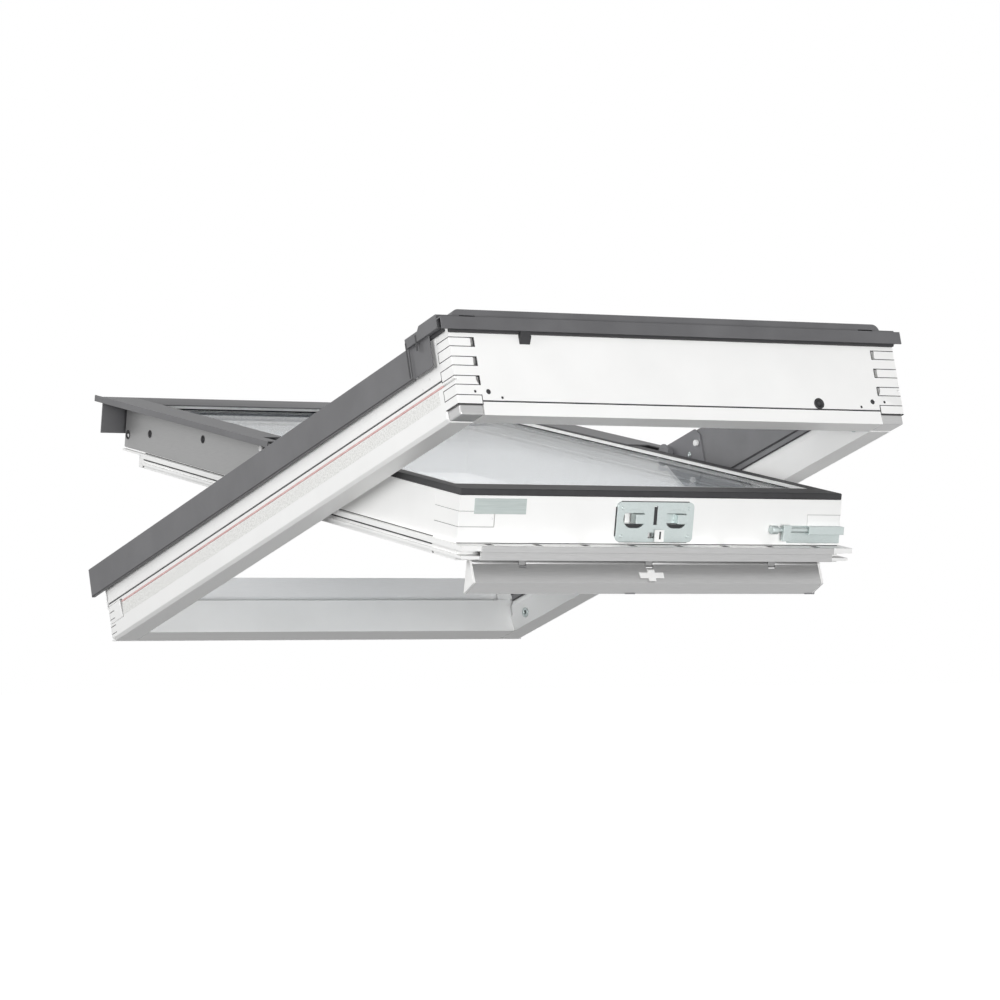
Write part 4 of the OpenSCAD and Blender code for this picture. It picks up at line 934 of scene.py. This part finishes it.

# %% [markdown]
# ## Fillers, painted shade, a painted highlight and pads
# White fillers close the ends of the glass rebate in the sides of the sash, and a grey plug fills the notch in
# each lower corner of the head as a painted shade. The flap's lower edge is rolled into a bead of paler
# aluminium, a painted highlight along the bend, with two pads on it, and both turn with the flap.

# %% Fillers and the painted shade in the corners
rebate_deep, filler_long = 0.0205, 0.0217
filler_y = (off(rail_face, 0.0702 - filler_long, 0.0702), off(side_high.y, -0.0752, -0.0752 + filler_long))
bars("rebate_fillers",
     [bar(mirrored(s, sash_side - rebate_deep, sash_side - hair), y, off(rail_top, -rebate_deep, -hair))
      for _, s in sides for y in filler_y],
     on_sash, "coated_timber")
notch_shade_y = (frame_face + 0.0015, head_high.y + hair)
notch_shade_z = (0.0008, finger_low[0] + hair)
# grey plug that paints the shade in the notch
bars("corner_plugs", [bar(mirrored(s, joint_x - hair, frame_side - 0.0025), notch_shade_y, notch_shade_z) for _, s in sides],
     on_frame, "mill_aluminium", edge=0.0022)
print("rebates filled and corners plugged")

# %% Painted highlight bead and pads of the flap
flap_low, flap_high = slope_box("air_flap", sash)
flap_proud, edge_over = 0.0006, 0.0004
pad_middles, pad_half, pad_long, pad_tall = (-0.022, 0.302), 0.009, 0.005, 0.0036
bead_stop, bead_long, bead_tall = 0.004, 0.0034, 0.0028
pad_y, pad_z = off(flap_high.y, -pad_long, edge_over), off(flap_low.z, -flap_proud, pad_tall)
bars("flap_pads", [bar(about(x, pad_half), pad_y, pad_z) for x in pad_middles], on_flap, "hinge_steel", edge=0.0006)
# pale bead that paints the highlight along the flap's lower edge
bars("flap_highlight_bead", [bar((flap_low.x + bead_stop, flap_high.x - bead_stop), off(flap_high.y, -bead_long, edge_over),
                       off(flap_low.z, -flap_proud, bead_tall))],
     on_flap, "mill_aluminium", edge=0.0014, finish=flap_highlight)
print("flap edged, with", len(pad_middles), "pads")

# %% [markdown]
# ## Tape and small holes
# Below the red seal, each jamb carries a strip of pale fleece tape. It is only as thick as a sheet of paper,
# so it lies on the face and needs no groove. A few small drilled holes are left in the jambs and the top rail;
# a short dark cup paints the shade in each.

# %% Tape and small holes
tape_thick, tape_start = 0.0002, 0.012
tape_drop = (-0.022, -0.002)
hole_shade_cup = [(0.0016, -0.003), (0.0016, 0.0001), (0.0012, -0.0004), (centre, -0.0006)]
jamb_hole_places = ((0.068, 0.075), (0.091, 0.067))
rail_hole_places = ((-0.280, 0.034), (0.317, 0.040))
for side, s in sides:
    seal_low, seal_high = slope_box("jamb_seal_" + side, roof)
    bars("jamb_tape_" + side,
         [bar(mirrored(s, frame_side, frame_side + tape_thick), (head_high.y + tape_start, seal_high.y),
              off(seal_low.z, *tape_drop))],
         on_frame, "coated_timber", edge=line_edge, finish=tape)
    # dark cups that paint the shade in the small holes
    turned("jamb_hole_shade_" + side, hole_shade_cup, [(s * frame_side, frame_face + down, z) for down, z in jamb_hole_places],
           (s, 0, 0), on_frame, "black_rubber")
turned("rail_hole_shade", hole_shade_cup, [(x, rail_face, rail_top - drop) for x, drop in rail_hole_places],
       to_front, on_sash, "black_rubber")
print("tape laid and small holes drilled")
